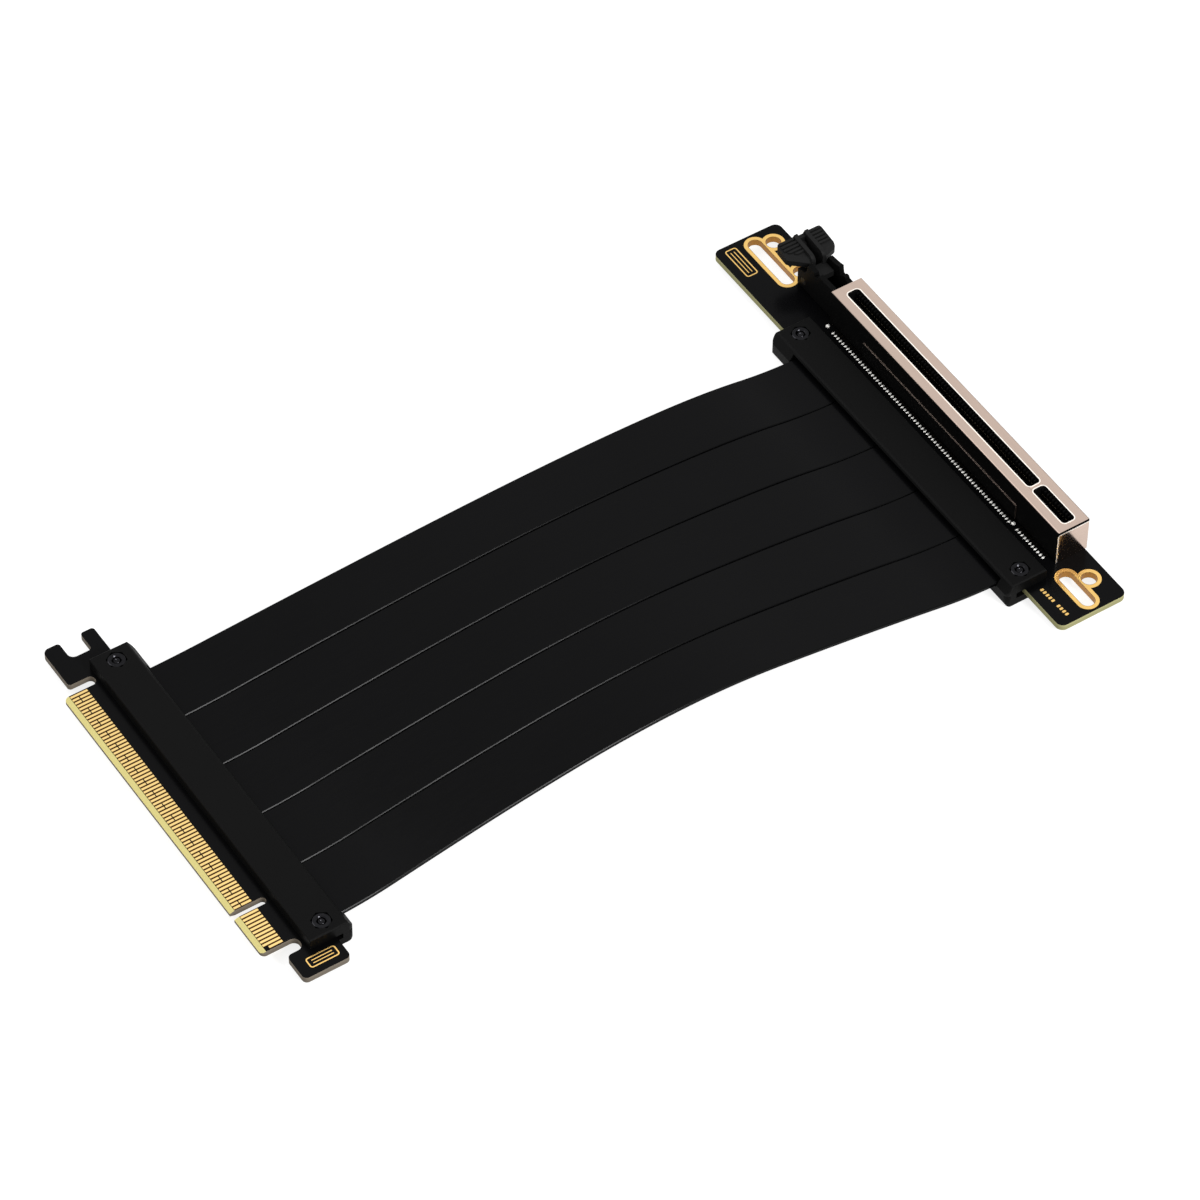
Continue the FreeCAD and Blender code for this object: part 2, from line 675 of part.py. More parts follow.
def socket_board():
    """Board under the card slot, with mounting slots and holes at both ends."""
    edge_x = ROW_X - SOCKET_BOARD_EDGE
    outer_x = SLOT_X + SOCKET_BOARD_OUTER
    near, far = FIRST_PIN_Y - SOCKET_BOARD_NEAR, LAST_PIN_Y + SOCKET_BOARD_FAR
    corners = [
        (edge_x, near, SOCKET_CORNER_RADIUS),
        *clamped_edge(SOCKET_CLAMP_X, -1, edge_x),
        (edge_x, far, SOCKET_CORNER_RADIUS),
        (outer_x, far, SOCKET_CORNER_RADIUS),
        (outer_x, near, SOCKET_CORNER_RADIUS),
    ]
    board = prism(corners, level(BOARD_BOTTOM), Vector(0, 0, BOARD_THICKNESS))
    return board.cut(mount_openings())


def slot_lengths():
    """The Y limits of the short and the long stretch of the card slot."""
    return [
        (SLOT_NEAR_Y, KEY_Y - KEY_WALL / 2),
        (KEY_Y + KEY_WALL / 2, SLOT_FAR_Y),
    ]


def slot_housing():
    """Moulded slot body: card slot with contact cells, feet, and the fork of the latch."""
    inner = SHIELD_WIDTH / 2 - SHIELD_SHEET
    base = BOARD_TOP + HOUSING_STANDOFF
    near = SHIELD_NEAR_Y + SHIELD_SHEET
    body = block((SLOT_X - inner, SLOT_X + inner), (near, SHIELD_FAR_Y), (base, HOUSING_TOP))
    pieces = [body]
    for y in (near, SHIELD_FAR_Y - HOUSING_FOOT_LENGTH):
        foot = (y, y + HOUSING_FOOT_LENGTH)
        pieces.append(block((SLOT_X - inner, SLOT_X + inner), foot, (BOARD_TOP, base)))
    pieces += [fork_arm(side) for side in (-1, 1)]
    housing = joined(pieces)
    half, cell = SLOT_WIDTH / 2, CELL_WIDTH / 2
    cuts = []
    for limits in slot_lengths():
        slot = (BOARD_TOP + SLOT_FLOOR, HOUSING_TOP)
        cuts.append(block((SLOT_X - half, SLOT_X + half), limits, slot))
        for x_range in ((SLOT_X - cell, SLOT_X - half), (SLOT_X + half, SLOT_X + cell)):
            cuts.append(block(x_range, limits, (base, HOUSING_TOP)))
    return housing.cut(cuts)


def pivot_place():
    """The Y and Z of the latch's axis."""
    return SHIELD_FAR_Y + LATCH_PIVOT_REACH, BOARD_TOP + LATCH_PIVOT_HEIGHT


def fork_arm(side):
    """One arm of the fork, with the bearing hole of the latch."""
    pivot_y = pivot_place()[0]
    end = pivot_y + FORK_END_REACH
    base = BOARD_TOP + HOUSING_STANDOFF
    root = SHIELD_FAR_Y - HOUSING_FOOT_LENGTH
    steps = CABLE_SIDE_ARM if side < 0 else OUTER_ARM
    tops = [(SHIELD_FAR_Y + reach, BOARD_TOP + height) for reach, height in steps]
    profile = sharp(
        (root, base),
        (root, tops[0][1]),
        *tops,
        (pivot_y - FORK_SHOULDER_SETBACK, BOARD_TOP + FORK_SHOULDER_HEIGHT),
        (end, BOARD_TOP + FORK_END_HEIGHT),
        (end, base),
    )
    x = SLOT_X + side * FORK_GAP / 2
    arm = prism(profile, along(x), Vector(side * FORK_ARM, 0, 0))
    return arm.cut(trunnion(side, TRUNNION_RADIUS + TRUNNION_CLEARANCE))


def trunnion(side, radius):
    """A stub on the latch's axis, through one arm of the fork."""
    pivot_y, pivot_z = pivot_place()
    inner = FORK_GAP / 2 - LATCH_SIDE_CLEARANCE
    reach = FORK_GAP / 2 + FORK_ARM - inner
    start = Vector(SLOT_X + side * inner, pivot_y, pivot_z)
    return Part.makeCylinder(radius, reach, start, Vector(side, 0, 0))


def slot_latch():
    """Retention latch: two cheeks and a back wall, a claw, ribbed ears, trunnions."""
    pivot_y, pivot_z = pivot_place()
    outer = FORK_GAP / 2 - LATCH_SIDE_CLEARANCE
    inner = LATCH_CARD_GAP / 2
    width = Vector(2 * outer, 0, 0)
    barrel_start = Vector(SLOT_X - outer, pivot_y, pivot_z)
    barrel = Part.makeCylinder(LATCH_BARREL_RADIUS, 2 * outer, barrel_start, Vector(1, 0, 0))
    pieces = [barrel]
    for profile in (claw_profile(), back_wall_profile()):
        pieces.append(prism(profile, along(SLOT_X - outer), width))
    ears = ((-1, CABLE_SIDE_EAR_SPREAD, CABLE_SIDE_EAR_SLANT), (1, EAR_SPREAD, EAR_SLANT))
    for side, spread, slant in ears:
        thickness = Vector(side * (outer - inner), 0, 0)
        pieces.append(prism(cheek_profile(), along(SLOT_X + side * inner), thickness))
        pieces.append(trunnion(side, TRUNNION_RADIUS))
        pieces += latch_ear(side, outer, spread, slant)
    return joined(pieces)


def cheek_profile():
    """Corners of a cheek, seen along the cable: round in front, peaked at the rear."""
    pivot_y, pivot_z = pivot_place()
    front = pivot_y - CHEEK_FRONT_REACH
    rear = pivot_y + CHEEK_REAR_REACH
    return [
        (pivot_y - LATCH_BARREL_RADIUS, pivot_z, 0),
        (front, BOARD_TOP + CHEEK_FRONT_HEIGHT, 0),
        (front, BOARD_TOP + CHEEK_HEIGHT, CHEEK_ROUND_RADIUS),
        (rear - PEAK_START, BOARD_TOP + CHEEK_HEIGHT + CHEEK_RISE, 0),
        (rear - PEAK_SETBACK, BOARD_TOP + PEAK_HEIGHT, 0),
        (rear, BOARD_TOP + CHEEK_REAR_TOP, 0),
        (rear, BOARD_TOP + CHEEK_REAR_FOOT, 0),
        (pivot_y + LATCH_BARREL_RADIUS, pivot_z, 0),
    ]


def back_wall_profile():
    """Corners of the wall that joins the cheeks along their rear edges."""
    pivot_y, pivot_z = pivot_place()
    rear = pivot_y + CHEEK_REAR_REACH
    foot = BOARD_TOP + CHEEK_REAR_FOOT
    top = BOARD_TOP + BACK_WALL_TOP
    return sharp(
        (pivot_y + LATCH_BARREL_RADIUS, pivot_z),
        (rear, foot),
        (rear, top),
        (rear - BACK_WALL, top),
        (rear - BACK_WALL, foot + BACK_WALL / 2),
        (pivot_y, pivot_z + BACK_WALL),
    )


def claw_profile():
    """Corners of the claw that holds down the hook of a card."""
    pivot_y = pivot_place()[0]
    root = pivot_y - LATCH_CLAW_ROOT
    tip = pivot_y - LATCH_CLAW_REACH
    top = BOARD_TOP + LATCH_CLAW_HEIGHT
    under = top - LATCH_CLAW_THICKNESS
    return sharp(
        (root, top),
        (tip, top),
        (tip, under - LATCH_CLAW_LIP),
        (tip + LATCH_CLAW_LIP_LENGTH, under - LATCH_CLAW_LIP),
        (tip + LATCH_CLAW_LIP_LENGTH, under),
        (root, under),
    )


def ear_front():
    """The Y of the ears' front edges where they leave the cheeks."""
    return pivot_place()[0] - EAR_FRONT_REACH


def ear_top(y):
    """The height of the ears' upper face, which rises outwards."""
    return BOARD_TOP + EAR_HEIGHT + EAR_RISE * (y - ear_front()) / EAR_LENGTH


def ear_plan(side, reach, tip, slant, setback):
    """An ear's outline from above as a tall prism, its slanted front moved back by a setback."""
    front = ear_front() + setback
    end = ear_front() + EAR_LENGTH
    root = SLOT_X + side * LATCH_CARD_GAP / 2
    corners = sharp((root, front), (SLOT_X + side * reach, front), (tip, front + slant), (tip, end), (root, end))
    return prism(corners, level(BOARD_TOP), Vector(0, 0, EAR_HEIGHT + EAR_RISE + RIB_HEIGHT))


def on_ear_front(edge, slant):
    """Whether an edge runs along the top of an ear's slanted front."""
    middle = edge.CenterOfMass
    at_top = abs(middle.z - ear_top(middle.y)) < SAME_PLACE
    return at_top and ear_front() + SAME_PLACE < middle.y < ear_front() + slant


def latch_ear(side, reach, spread, slant):
    """A thumb ear with a slanted, lipped front and ribs beside its cheek, in overlapping pieces."""
    start = ear_front()
    end = start + EAR_LENGTH
    tip = SLOT_X + side * spread
    root = SLOT_X + side * LATCH_CARD_GAP / 2
    band = sharp(
        (start, ear_top(start) - EAR_THICKNESS),
        (start, ear_top(start)),
        (end, ear_top(end)),
        (end, ear_top(end) - EAR_THICKNESS),
    )
    slab = prism(band, along(root), Vector(tip - root, 0, 0))
    slab = slab.common(ear_plan(side, reach, tip, slant, 0))
    slab = slab.makeChamfer(EAR_LIP, [edge for edge in slab.Edges if on_ear_front(edge, slant)])
    slab = rounded_edges(slab, EAR_CORNER_RADIUS, lambda edge: stands_at(edge, tip))
    pieces = [slab]
    rib_root = SLOT_X + side * reach
    rib_length = Vector(tip - rib_root - side * RIB_END_MARGIN, 0, 0)
    rib_room = ear_plan(side, reach, tip, slant, RIB_FRONT_MARGIN)
    for i in range(RIB_COUNT):
        near = start + RIB_START + i * RIB_PITCH
        far = near + RIB_WIDTH
        ridge = sharp(
            (near, ear_top(near) - RIB_HEIGHT),
            (near, ear_top(near) + RIB_HEIGHT),
            (far, ear_top(far) + RIB_HEIGHT),
            (far, ear_top(far) - RIB_HEIGHT),
        )
        pieces.append(prism(ridge, along(rib_root), rib_length).common(rib_room))
    return pieces


def stands_at(edge, x):
    """Whether a straight edge stands upright at one station along the cable."""
    if edge.Curve.TypeId != "Part::GeomLine":
        return False
    upright = abs(abs(edge.Curve.Direction.z) - 1) < SAME_PLACE
    return upright and abs(edge.CenterOfMass.x - x) < SAME_PLACE


def slot_shield():
    """Folded metal shield: top with two windows, side walls with raised panels, end plate."""
    half = SHIELD_WIDTH / 2
    section_outer = [
        (SLOT_X - half, BOARD_TOP, 0),
        (SLOT_X - half, SHIELD_TOP, SHIELD_BEND_RADIUS),
        (SLOT_X + half, SHIELD_TOP, SHIELD_BEND_RADIUS),
        (SLOT_X + half, BOARD_TOP, 0),
    ]
    run = Vector(0, SHIELD_FAR_Y - SHIELD_NEAR_Y, 0)
    inner = half - SHIELD_SHEET
    length = (SHIELD_NEAR_Y, SHIELD_FAR_Y)
    shell = prism(section_outer, across(SHIELD_NEAR_Y), run)
    shell = joined([shell, side_panels(half + SIDE_PANEL_STEP, 0)])
    core = block((SLOT_X - inner, SLOT_X + inner), length, (BOARD_TOP, HOUSING_TOP))
    skirt = block(
        (SLOT_X - half, SLOT_X + half),
        (SHIELD_NEAR_Y + SHIELD_FOOT_LENGTH, SHIELD_FAR_Y - SHIELD_FOOT_LENGTH),
        (BOARD_TOP, BOARD_TOP + SHIELD_SKIRT_CLEARANCE),
    )
    cuts = [core, skirt, side_panels(inner + SIDE_PANEL_STEP, SHIELD_SHEET)]
    reach = CELL_WIDTH / 2 + WINDOW_SIDE_MARGIN
    for near, far in slot_lengths():
        window = [
            (SLOT_X - reach, near - WINDOW_END_MARGIN, WINDOW_CORNER_RADIUS),
            (SLOT_X - reach, far + WINDOW_END_MARGIN, WINDOW_CORNER_RADIUS),
            (SLOT_X + reach, far + WINDOW_END_MARGIN, WINDOW_CORNER_RADIUS),
            (SLOT_X + reach, near - WINDOW_END_MARGIN, WINDOW_CORNER_RADIUS),
        ]
        cuts.append(prism(window, level(HOUSING_TOP), Vector(0, 0, SHIELD_SHEET)))
    shell = shell.cut(cuts)
    plate = block(
        (SLOT_X - inner + END_PLATE_GAP, SLOT_X + half),
        (SHIELD_NEAR_Y, SHIELD_NEAR_Y + SHIELD_SHEET),
        (BOARD_TOP, SHIELD_TOP - END_PLATE_DROP),
    )
    return shell.fuse(plate).removeSplitter()


def side_panels(reach, inset):
    """The space of the panels pressed outwards in both side walls, less an inset."""
    return block(
        (SLOT_X - reach, SLOT_X + reach),
        (FIRST_PIN_Y + SIDE_PANEL_NEAR + inset, LAST_PIN_Y - SIDE_PANEL_FAR - inset),
        (BOARD_TOP + SHIELD_SKIRT_CLEARANCE, BOARD_TOP + SIDE_PANEL_HEIGHT - inset),
    )


def contact_row(side):
    """One row of contacts whose sprung legs lean into the slot, with feet on the cable side."""
    wall = CELL_WIDTH / 2
    nip = CONTACT_NIP_GAP / 2 + CONTACT_SHEET
    sheet = CONTACT_SHEET
    profile = [
        (wall, 0),
        (wall - sheet, 0),
        (nip - sheet, CONTACT_TIP_HEIGHT),
        (nip, CONTACT_TIP_HEIGHT),
    ]
    if side < 0:
        foot_end = SLOT_OFFSET + CONTACT_FOOT_REACH
        profile = [(foot_end, 0), *profile[1:], (wall, sheet), (foot_end, sheet)]
    corners = sharp(*[(SLOT_X + side * reach, BOARD_TOP + height) for reach, height in profile])
    near, far = pin_places()
    width = Vector(0, CONTACT_WIDTH, 0)
    return Part.makeCompound([prism(corners, across(y - CONTACT_WIDTH / 2), width) for y in near + far])


def export(name, shape):
    """Writes one piece to its own file."""
    shape.exportStep(os.path.join("parts", name + ".step"))


def main():
    os.makedirs("parts", exist_ok=True)
    export("plug_board", plug_board())
    export("plug_contacts_top", plug_contacts(1, True))
    export("plug_contacts_bottom", plug_contacts(-1, False))
    clamp = {
        "upper_cover": upper_cover(),
        "lower_cover": lower_cover(),
        "nuts": clamp_nuts(),
        "screws": clamp_screws(),
    }
    for name, shape in clamp.items():
        export("plug_" + name, shape)
        export("socket_" + name, socket_side(shape))
    for index in range(RIBBON_COUNT):
        flat = ribbon(index)
        export("ribbon_%d" % (index + 1), flat)
        print(route_note(index, flat.Volume))
    export("socket_board", socket_board())
    export("slot_housing", slot_housing())
    export("slot_contacts_inner", contact_row(-1))
    export("slot_contacts_outer", contact_row(1))
    export("slot_shield", slot_shield())
    export("slot_latch", slot_latch())


main()
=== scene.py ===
import functools
import math

import bmesh
import bpy
from mathutils import Matrix, Vector


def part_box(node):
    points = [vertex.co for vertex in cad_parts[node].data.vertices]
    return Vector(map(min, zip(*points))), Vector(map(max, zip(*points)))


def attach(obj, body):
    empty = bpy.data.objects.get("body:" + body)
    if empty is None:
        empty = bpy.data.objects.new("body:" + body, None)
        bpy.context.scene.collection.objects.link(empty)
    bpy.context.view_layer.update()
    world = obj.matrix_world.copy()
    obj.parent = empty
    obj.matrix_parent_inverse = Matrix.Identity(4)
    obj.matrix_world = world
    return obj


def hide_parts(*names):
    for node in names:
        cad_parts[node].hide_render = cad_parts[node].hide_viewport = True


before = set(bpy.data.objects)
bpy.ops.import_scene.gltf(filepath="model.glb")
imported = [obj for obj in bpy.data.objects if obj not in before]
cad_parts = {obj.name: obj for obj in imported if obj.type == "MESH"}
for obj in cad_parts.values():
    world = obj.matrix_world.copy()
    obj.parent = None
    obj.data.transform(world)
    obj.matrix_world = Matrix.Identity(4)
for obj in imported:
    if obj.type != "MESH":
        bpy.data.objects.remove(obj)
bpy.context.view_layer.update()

bl_info = {
    "name": "Card extension cable",
    "version": (1, 0, 0),
    "blender": (4, 5, 0),
    "location": "View3D > Sidebar > Extension Cable",
    "description": "Ribbons, plating, solder, fasteners, print and finishes of an extension cable",
    "category": "Object",
}

MM = 0.001
# Distances under which points count as one, in new pieces and in the solids
CLOSE, WELD = 0.0001 * MM, 0.001 * MM

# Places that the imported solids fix, in metres
BOARD_BOTTOM, BOARD_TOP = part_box("socket_board")[0].z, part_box("socket_board")[1].z
PLUG_BOARD_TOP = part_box("plug_board")[1].z
TIP_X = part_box("plug_board")[0].x
SHIELD_LOW, SHIELD_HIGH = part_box("slot_shield")
SLOT_X = (SHIELD_LOW.x + SHIELD_HIGH.x) / 2
CLAMP_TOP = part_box("plug_upper_cover")[1].z
CABLE_NEAR_Y, CABLE_FAR_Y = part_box("ribbon_1")[0].y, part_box("ribbon_5")[1].y

# The row of contacts, which has a step at the key
ROW_X = 97.05 * MM
FIRST_PIN_Y = -50.55 * MM
PIN_PITCH = 1.0 * MM
# A finger, and where the painted shade at its edges starts and ends, as shares of its width
# from its middle
FINGER_WIDTH, FINGER_SHADE = 0.7 * MM, (0.28, 0.5)
PINS_BEFORE_KEY, PINS_AFTER_KEY, KEY_STEP = 11, 71, 3.0 * MM
PIN_ROW = [FIRST_PIN_Y + i * PIN_PITCH for i in range(PINS_BEFORE_KEY)]
PIN_ROW += [PIN_ROW[-1] + KEY_STEP + i * PIN_PITCH for i in range(PINS_AFTER_KEY)]
KEY_Y = PIN_ROW[PINS_BEFORE_KEY] - KEY_STEP / 2

# The shield: half its width over the walls, its sheet, the seam over its end plate
SHIELD_HALF = 4.35 * MM
SHIELD_SHEET = 0.3 * MM
SEAM_DEPTH = 0.85 * MM
# How far the painted highlight strips on its edges stand proud
HIGHLIGHT_PROUD = 0.03 * MM
# Its two windows, and the webs before, between and behind them
WINDOW_HALF, WINDOW_CORNER = 1.705 * MM, 0.9 * MM
NEAR_WEB, KEY_WEB, FAR_WEB = 1.7 * MM, 1.1 * MM, 2.4 * MM
WINDOWS = (
    (SHIELD_LOW.y + NEAR_WEB, KEY_Y - KEY_WEB / 2),
    (KEY_Y + KEY_WEB / 2, SHIELD_HIGH.y - FAR_WEB),
)
# Where its finish changes: behind the end plate, at the seam, where a black band is painted
# as shade, and below the top for the ledges
END_PLATE_Y = SHIELD_LOW.y + 1.1 * SHIELD_SHEET
SEAM_SHADE_Z = SHIELD_HIGH.z - 0.55 * SEAM_DEPTH
LEDGE_Z = SHIELD_HIGH.z - 3.0 * MM
# Sideways part of the normal where the black on its sideways faces starts, and where it covers
SIDE_BLACK_STARTS, SIDE_BLACK_COVERS = 0.2, 0.75

# The slot: half its opening, half the width over its cells, the comb between its contacts
SLOT_HALF, CELL_HALF = 0.875 * MM, 1.555 * MM
COMB_FLOOR, COMB_DROP, COMB_SEAT = 0.9 * MM, 0.35 * MM, 0.02 * MM
# Heights between which its contacts turn from bare alloy to gold flash
FLASH_FROM, FLASH_TO = BOARD_TOP + 3.0 * MM, BOARD_TOP + 7.0 * MM

# Openings of the socket board: centre x and y, width, length
NEAR_OPENINGS = (
    (97.95 * MM, -62.25 * MM, 3.7 * MM, 11.6 * MM),
    (102.1 * MM, -61.25 * MM, 3.8 * MM, 3.8 * MM),
)
FAR_OPENINGS = (
    (97.95 * MM, 59.45 * MM, 3.7 * MM, 16.9 * MM),
    (102.1 * MM, 53.05 * MM, 3.8 * MM, 3.8 * MM),
    (102.1 * MM, 64.55 * MM, 3.8 * MM, 3.8 * MM),
)

# Solder: facets round and down a drop, for a contact foot and for a peg of the slot body
FOOT_FACETS, PEG_FACETS = (10, 6), (16, 8)
# The round pegs beside the contact feet: x and y, then the reach of one
PEGS = (
    (ROW_X + 0.3 * MM, FIRST_PIN_Y + 85.6 * MM),
    (ROW_X + 0.44 * MM, FIRST_PIN_Y + 12.0 * MM),
)
PEG_REACH = (0.55 * MM, 0.55 * MM, 0.4 * MM)

# Route of the flat cable: x, rise of its near edge, rise of its far edge
ROUTE = (
    (-0.09295, 0.0, 0.0),
    (-0.08405, 0.0, 0.0),
    (-0.06650, 0.0035, 0.0012),
    (-0.04251, 0.0080, 0.0026),
    (-0.01459, 0.0116, 0.0040),
    (0.01145, 0.0117, 0.0049),
    (0.03748, 0.0076, 0.0049),
    (0.05941, 0.0036, 0.0036),
    (0.07791, 0.0, 0.0),
    (0.08775, 0.0, 0.0),
)
RIBBON_LEVEL = 4.05 * MM
ROUTE_ORDER, ROUTE_STEPS = 3, 10

# Clamp nuts: cone over the flats, spare past the corners, chamfer, radii of mouth and bore
NUT_FACE_INSET, NUT_CORNER_SPARE = 0.12 * MM, 0.05 * MM
NUT_CHAMFER = math.radians(30)
NUT_MOUTH, NUT_BORE = 1.25 * MM, 1.02 * MM

# Clamp screws: head and shank as radii, thread from a depth under the clamp's top
HEAD_RADIUS, HEAD_LAND = 1.9 * MM, 0.08 * MM
SHANK_RADIUS, THREAD_DEPTH = 1.0 * MM, 0.16 * MM
THREAD_START, PLAIN_TURNS = 2.4 * MM, 1.3
POINT_CHAMFER = 0.3 * MM
DIMPLE = ((0.45 * MM, 0.0), (0.3 * MM, 0.15 * MM), (0.0, 0.2 * MM))
RECESS_LENGTH, RECESS_WIDTH, RECESS_DEPTH = 1.9 * MM, 0.45 * MM, 0.5 * MM

# Print on the boards: the two labels as x and y ranges, and a row of blocks
PRINT_HEIGHT = 0.06 * MM
PLUG_LABEL = (
    (TIP_X + 6.9 * MM, TIP_X + 14.2 * MM),
    (FIRST_PIN_Y - 9.8 * MM, FIRST_PIN_Y - 6.9 * MM),
)
SOCKET_LABEL = (
    (ROW_X - 6.6 * MM, ROW_X - 3.4 * MM),
    (FIRST_PIN_Y + 108.8 * MM, FIRST_PIN_Y + 118.7 * MM),
)
LABEL_CORNER, BAR_MARGIN, BAR_SHARES = 0.7 * MM, 1.1 * MM, (0.36, 0.64)
BLOCK_X, BLOCK_Y = ROW_X - 5.4 * MM, FIRST_PIN_Y - 16.8 * MM
BLOCK_DRIFT, BLOCK_STRIDE = 0.05 * MM, 0.98 * MM
BLOCK_WIDTH, BLOCK_LENGTH, BLOCK_CORNER = 0.9 * MM, 0.6 * MM, 0.2 * MM
BLOCKS = (0, 1, 2, 3, 5, 6, 7, 8, 9)

# Radii of the softened edges
COVERS = [end + part for end in ("plug", "socket") for part in ("_upper_cover", "_lower_cover")]
EDGE_RADII = {name: 0.15 * MM for name in (*COVERS, "slot_latch")}
EDGE_RADII.update({"slot_housing": 0.1 * MM, "slot_shield": 0.08 * MM})

# Mouldings of the slot: name of the finish, its colour, its specular level
SLOT_BODY = ("slot_moulding_polymer", "moulding", 0.02)
LATCH_BODY = ("latch_moulding_polymer", "latch", 0.065)
# Specular level of jacket, covers and boards
SATIN = 0.055
# Upright part of the normal over which a board's face is masked, and over which it is a bevel
MASKED, BEVELLED = 0.99, 0.8
# The middle of a noise, where most of its values lie
NOISE_SPAN = {"From Min": 0.3, "From Max": 0.7}
# Radians that a wave texture runs through in one unit at scale 1
WAVE_RATE = 20

# The stage: floor, white room, and lamps as name, place, width and length, watts
WHITE = (1.0, 1.0, 1.0, 1.0)
FLOOR_Z, FLOOR_HALF, FLOOR_GLOW = -0.05 * MM, 3.0, 0.82
ROOM_FILL = 0.35
LAMP_AIM = Vector((0, 0, 0))
SOFTBOXES = (
    ("front_softbox", (0.28, -1.3, 0.95), (0.45, 0.25), 18.0),
    ("top_softbox", (0.1, 0.3, 1.5), (1.2, 1.2), 3.0),
    ("rear_softbox", (-0.75, 0.85, 1.1), (1.0, 1.0), 9.0),
)

# The camera that took the picture: place, heading, tilt, roll, and lens for its sensor in mm
CAMERA_PLACE = Vector((-0.46715, -0.72017, 0.98814))
CAMERA_HEADING, CAMERA_TILT, CAMERA_ROLL = 33.58, 48.99, 0.52
CAMERA_LENS, CAMERA_SENSOR = 174.99, 36.0
CAMERA_CLIP = 0.01


def srgb(code):
    """A hex colour as linear red, green and blue."""
    parts = [int(code[i:i + 2], 16) / 255 for i in (1, 3, 5)]
    return tuple(c / 12.92 if c <= 0.04045 else ((c + 0.055) / 1.055) ** 2.4 for c in parts)


def length(name, description, millimetres):
    """A size that a user may change, shown as a length."""
    return bpy.props.FloatProperty(name=name, description=description, default=millimetres * MM,
                                   min=0.0, precision=5, unit="LENGTH")


def colour(name, description, code):
    """A colour that a user may change, given as sRGB hex."""
    return bpy.props.FloatVectorProperty(name=name, description=description, default=srgb(code),
                                         min=0.0, max=1.0, subtype="COLOR", size=3)


class ExtensionCableSizes(bpy.types.PropertyGroup):
    """Sizes of the pieces that dress the solids."""

    ribbon_thickness: length("Ribbon thickness", "Thickness of each flat ribbon", 0.9)
    ribbon_edge: length("Ribbon edge", "Flat chamfer along the upper edges of a ribbon", 0.17)
    ribbon_lift: length("Ribbon lift", "Height of a ribbon's near edge over its neighbour", 0.2)
    rim_width: length("Rim width", "Width of the plated rims round slots and holes", 0.9)
    plating: length("Plating", "Thickness that the plating stands proud", 0.08)
    solder_length: length("Solder length", "Length of a soldered contact foot", 1.2)
    solder_width: length("Solder width", "Width of a soldered contact foot", 0.6)
    solder_height: length("Solder height", "Height of a soldered contact foot", 0.26)
    # Width of the strips of painted highlight on the shield's edges
    highlight_line: length("Sheared line", "Width of the bright sheared edges of the shield", 0.25)
    legend_line: length("Legend line", "Width of the printed frames on the boards", 0.3)
    legend_bar: length("Legend bar", "Width of the printed bars inside the frames", 0.22)
    comb_wall: length("Comb wall", "Thickness of the walls between the slot's contacts", 0.34)
    thread_pitch: length("Thread pitch", "Pitch of the clamp screws", 0.4)


class ExtensionCableColours(bpy.types.PropertyGroup):
    """Colours of the finishes."""

    jacket: colour("Ribbon jacket", "Black of the ribbon jacket", "#070708")
    cover: colour("Cover", "Black of the moulded covers", "#060606")
    mask: colour("Solder mask", "Black of the boards' faces", "#080809")
    laminate: colour("Laminate", "Cut edge of the socket board", "#C4C08C")
    plug_laminate: colour("Plug laminate", "Cut edge of the plug board", "#8F8578")
    tip_laminate: colour("Tip laminate", "Bare bevel of the plug's tongue", "#DED28A")
    gold: colour("Gold", "Plating of rims and legends", "#F1C676")
    # Finger plating: pale as a painted highlight along the middle, brown as painted shade at the
    # edges
    finger_highlight_gold: colour("Finger gold", "Plating along the middle of a finger", "#F6D58C")
    finger_edge_shade: colour("Finger edge", "Plating at the etched edges of a finger", "#93621F")
    # Browner gold inside the openings, as painted shade
    bore_gold_shaded: colour("Bore gold", "Plating inside the board's openings", "#A6763A")
    nickel: colour("Nickel", "Plating of the slot's shield", "#C9B4A7")
    # Near-white colour of the painted highlight on the shield's edges
    sheared: colour("Sheared edge", "Cut edges of the shield's sheet", "#FBF4EC")
    # Black of the shield's sideways faces, and of the painted shade over its seam
    side_black_and_seam_shade: colour("Wall film", "Insulating lacquer on the shield's long walls", "#070707")
    tin: colour("Tin", "Solder of the contact feet", "#F1F0EC")
    # Both contact tones are darkened as painted shade
    alloy: colour("Contact alloy", "Feet of the slot's contacts", "#35312C")
    flash: colour("Contact flash", "Gold flash on the contact tips", "#665D50")
    moulding: colour("Moulding", "Black of the slot body", "#0B0B0B")
    latch: colour("Latch", "Black of the latch", "#1A1A1A")
    steel: colour("Blackened steel", "Nuts and screws", "#202022")
    floor: colour("Floor", "Card under the part, as the lamps light it", "#A3A3A2")


def sizes():
    """The sizes as they are set in the scene."""
    return bpy.context.scene.extension_cable_sizes


def colours():
    """The colours as they are set in the scene."""
    return bpy.context.scene.extension_cable_colours


# Finishes


def add_node(tree, kind, inputs=(), **settings):
    """Adds a node with its settings, and its inputs as values or as links."""
    node = tree.nodes.new(kind)
    for name, value in settings.items():
        setattr(node, name, value)
    for name, value in dict(inputs).items():
        if isinstance(value, bpy.types.NodeSocket):
            tree.links.new(value, node.inputs[name])
        else:
            node.inputs[name].default_value = value
    return node


def blank(name):
    """A material with an empty node tree."""
    material = bpy.data.materials.new(name)
    material.use_nodes = True
    material.node_tree.nodes.clear()
    return material, material.node_tree


def closed(tree, shader):
    """Sends a shader to the material's surface."""
    add_node(tree, "ShaderNodeOutputMaterial", {"Surface": shader.outputs[0]})


def per(millimetres):
    """The texture scale that gives a pattern of that size."""
    return 1 / (millimetres * MM)


def rgba(tint, share=1.0):
    """A colour with alpha, made lighter or darker by a share."""
    return (*[min(1.0, channel * share) for channel in tint], 1.0)


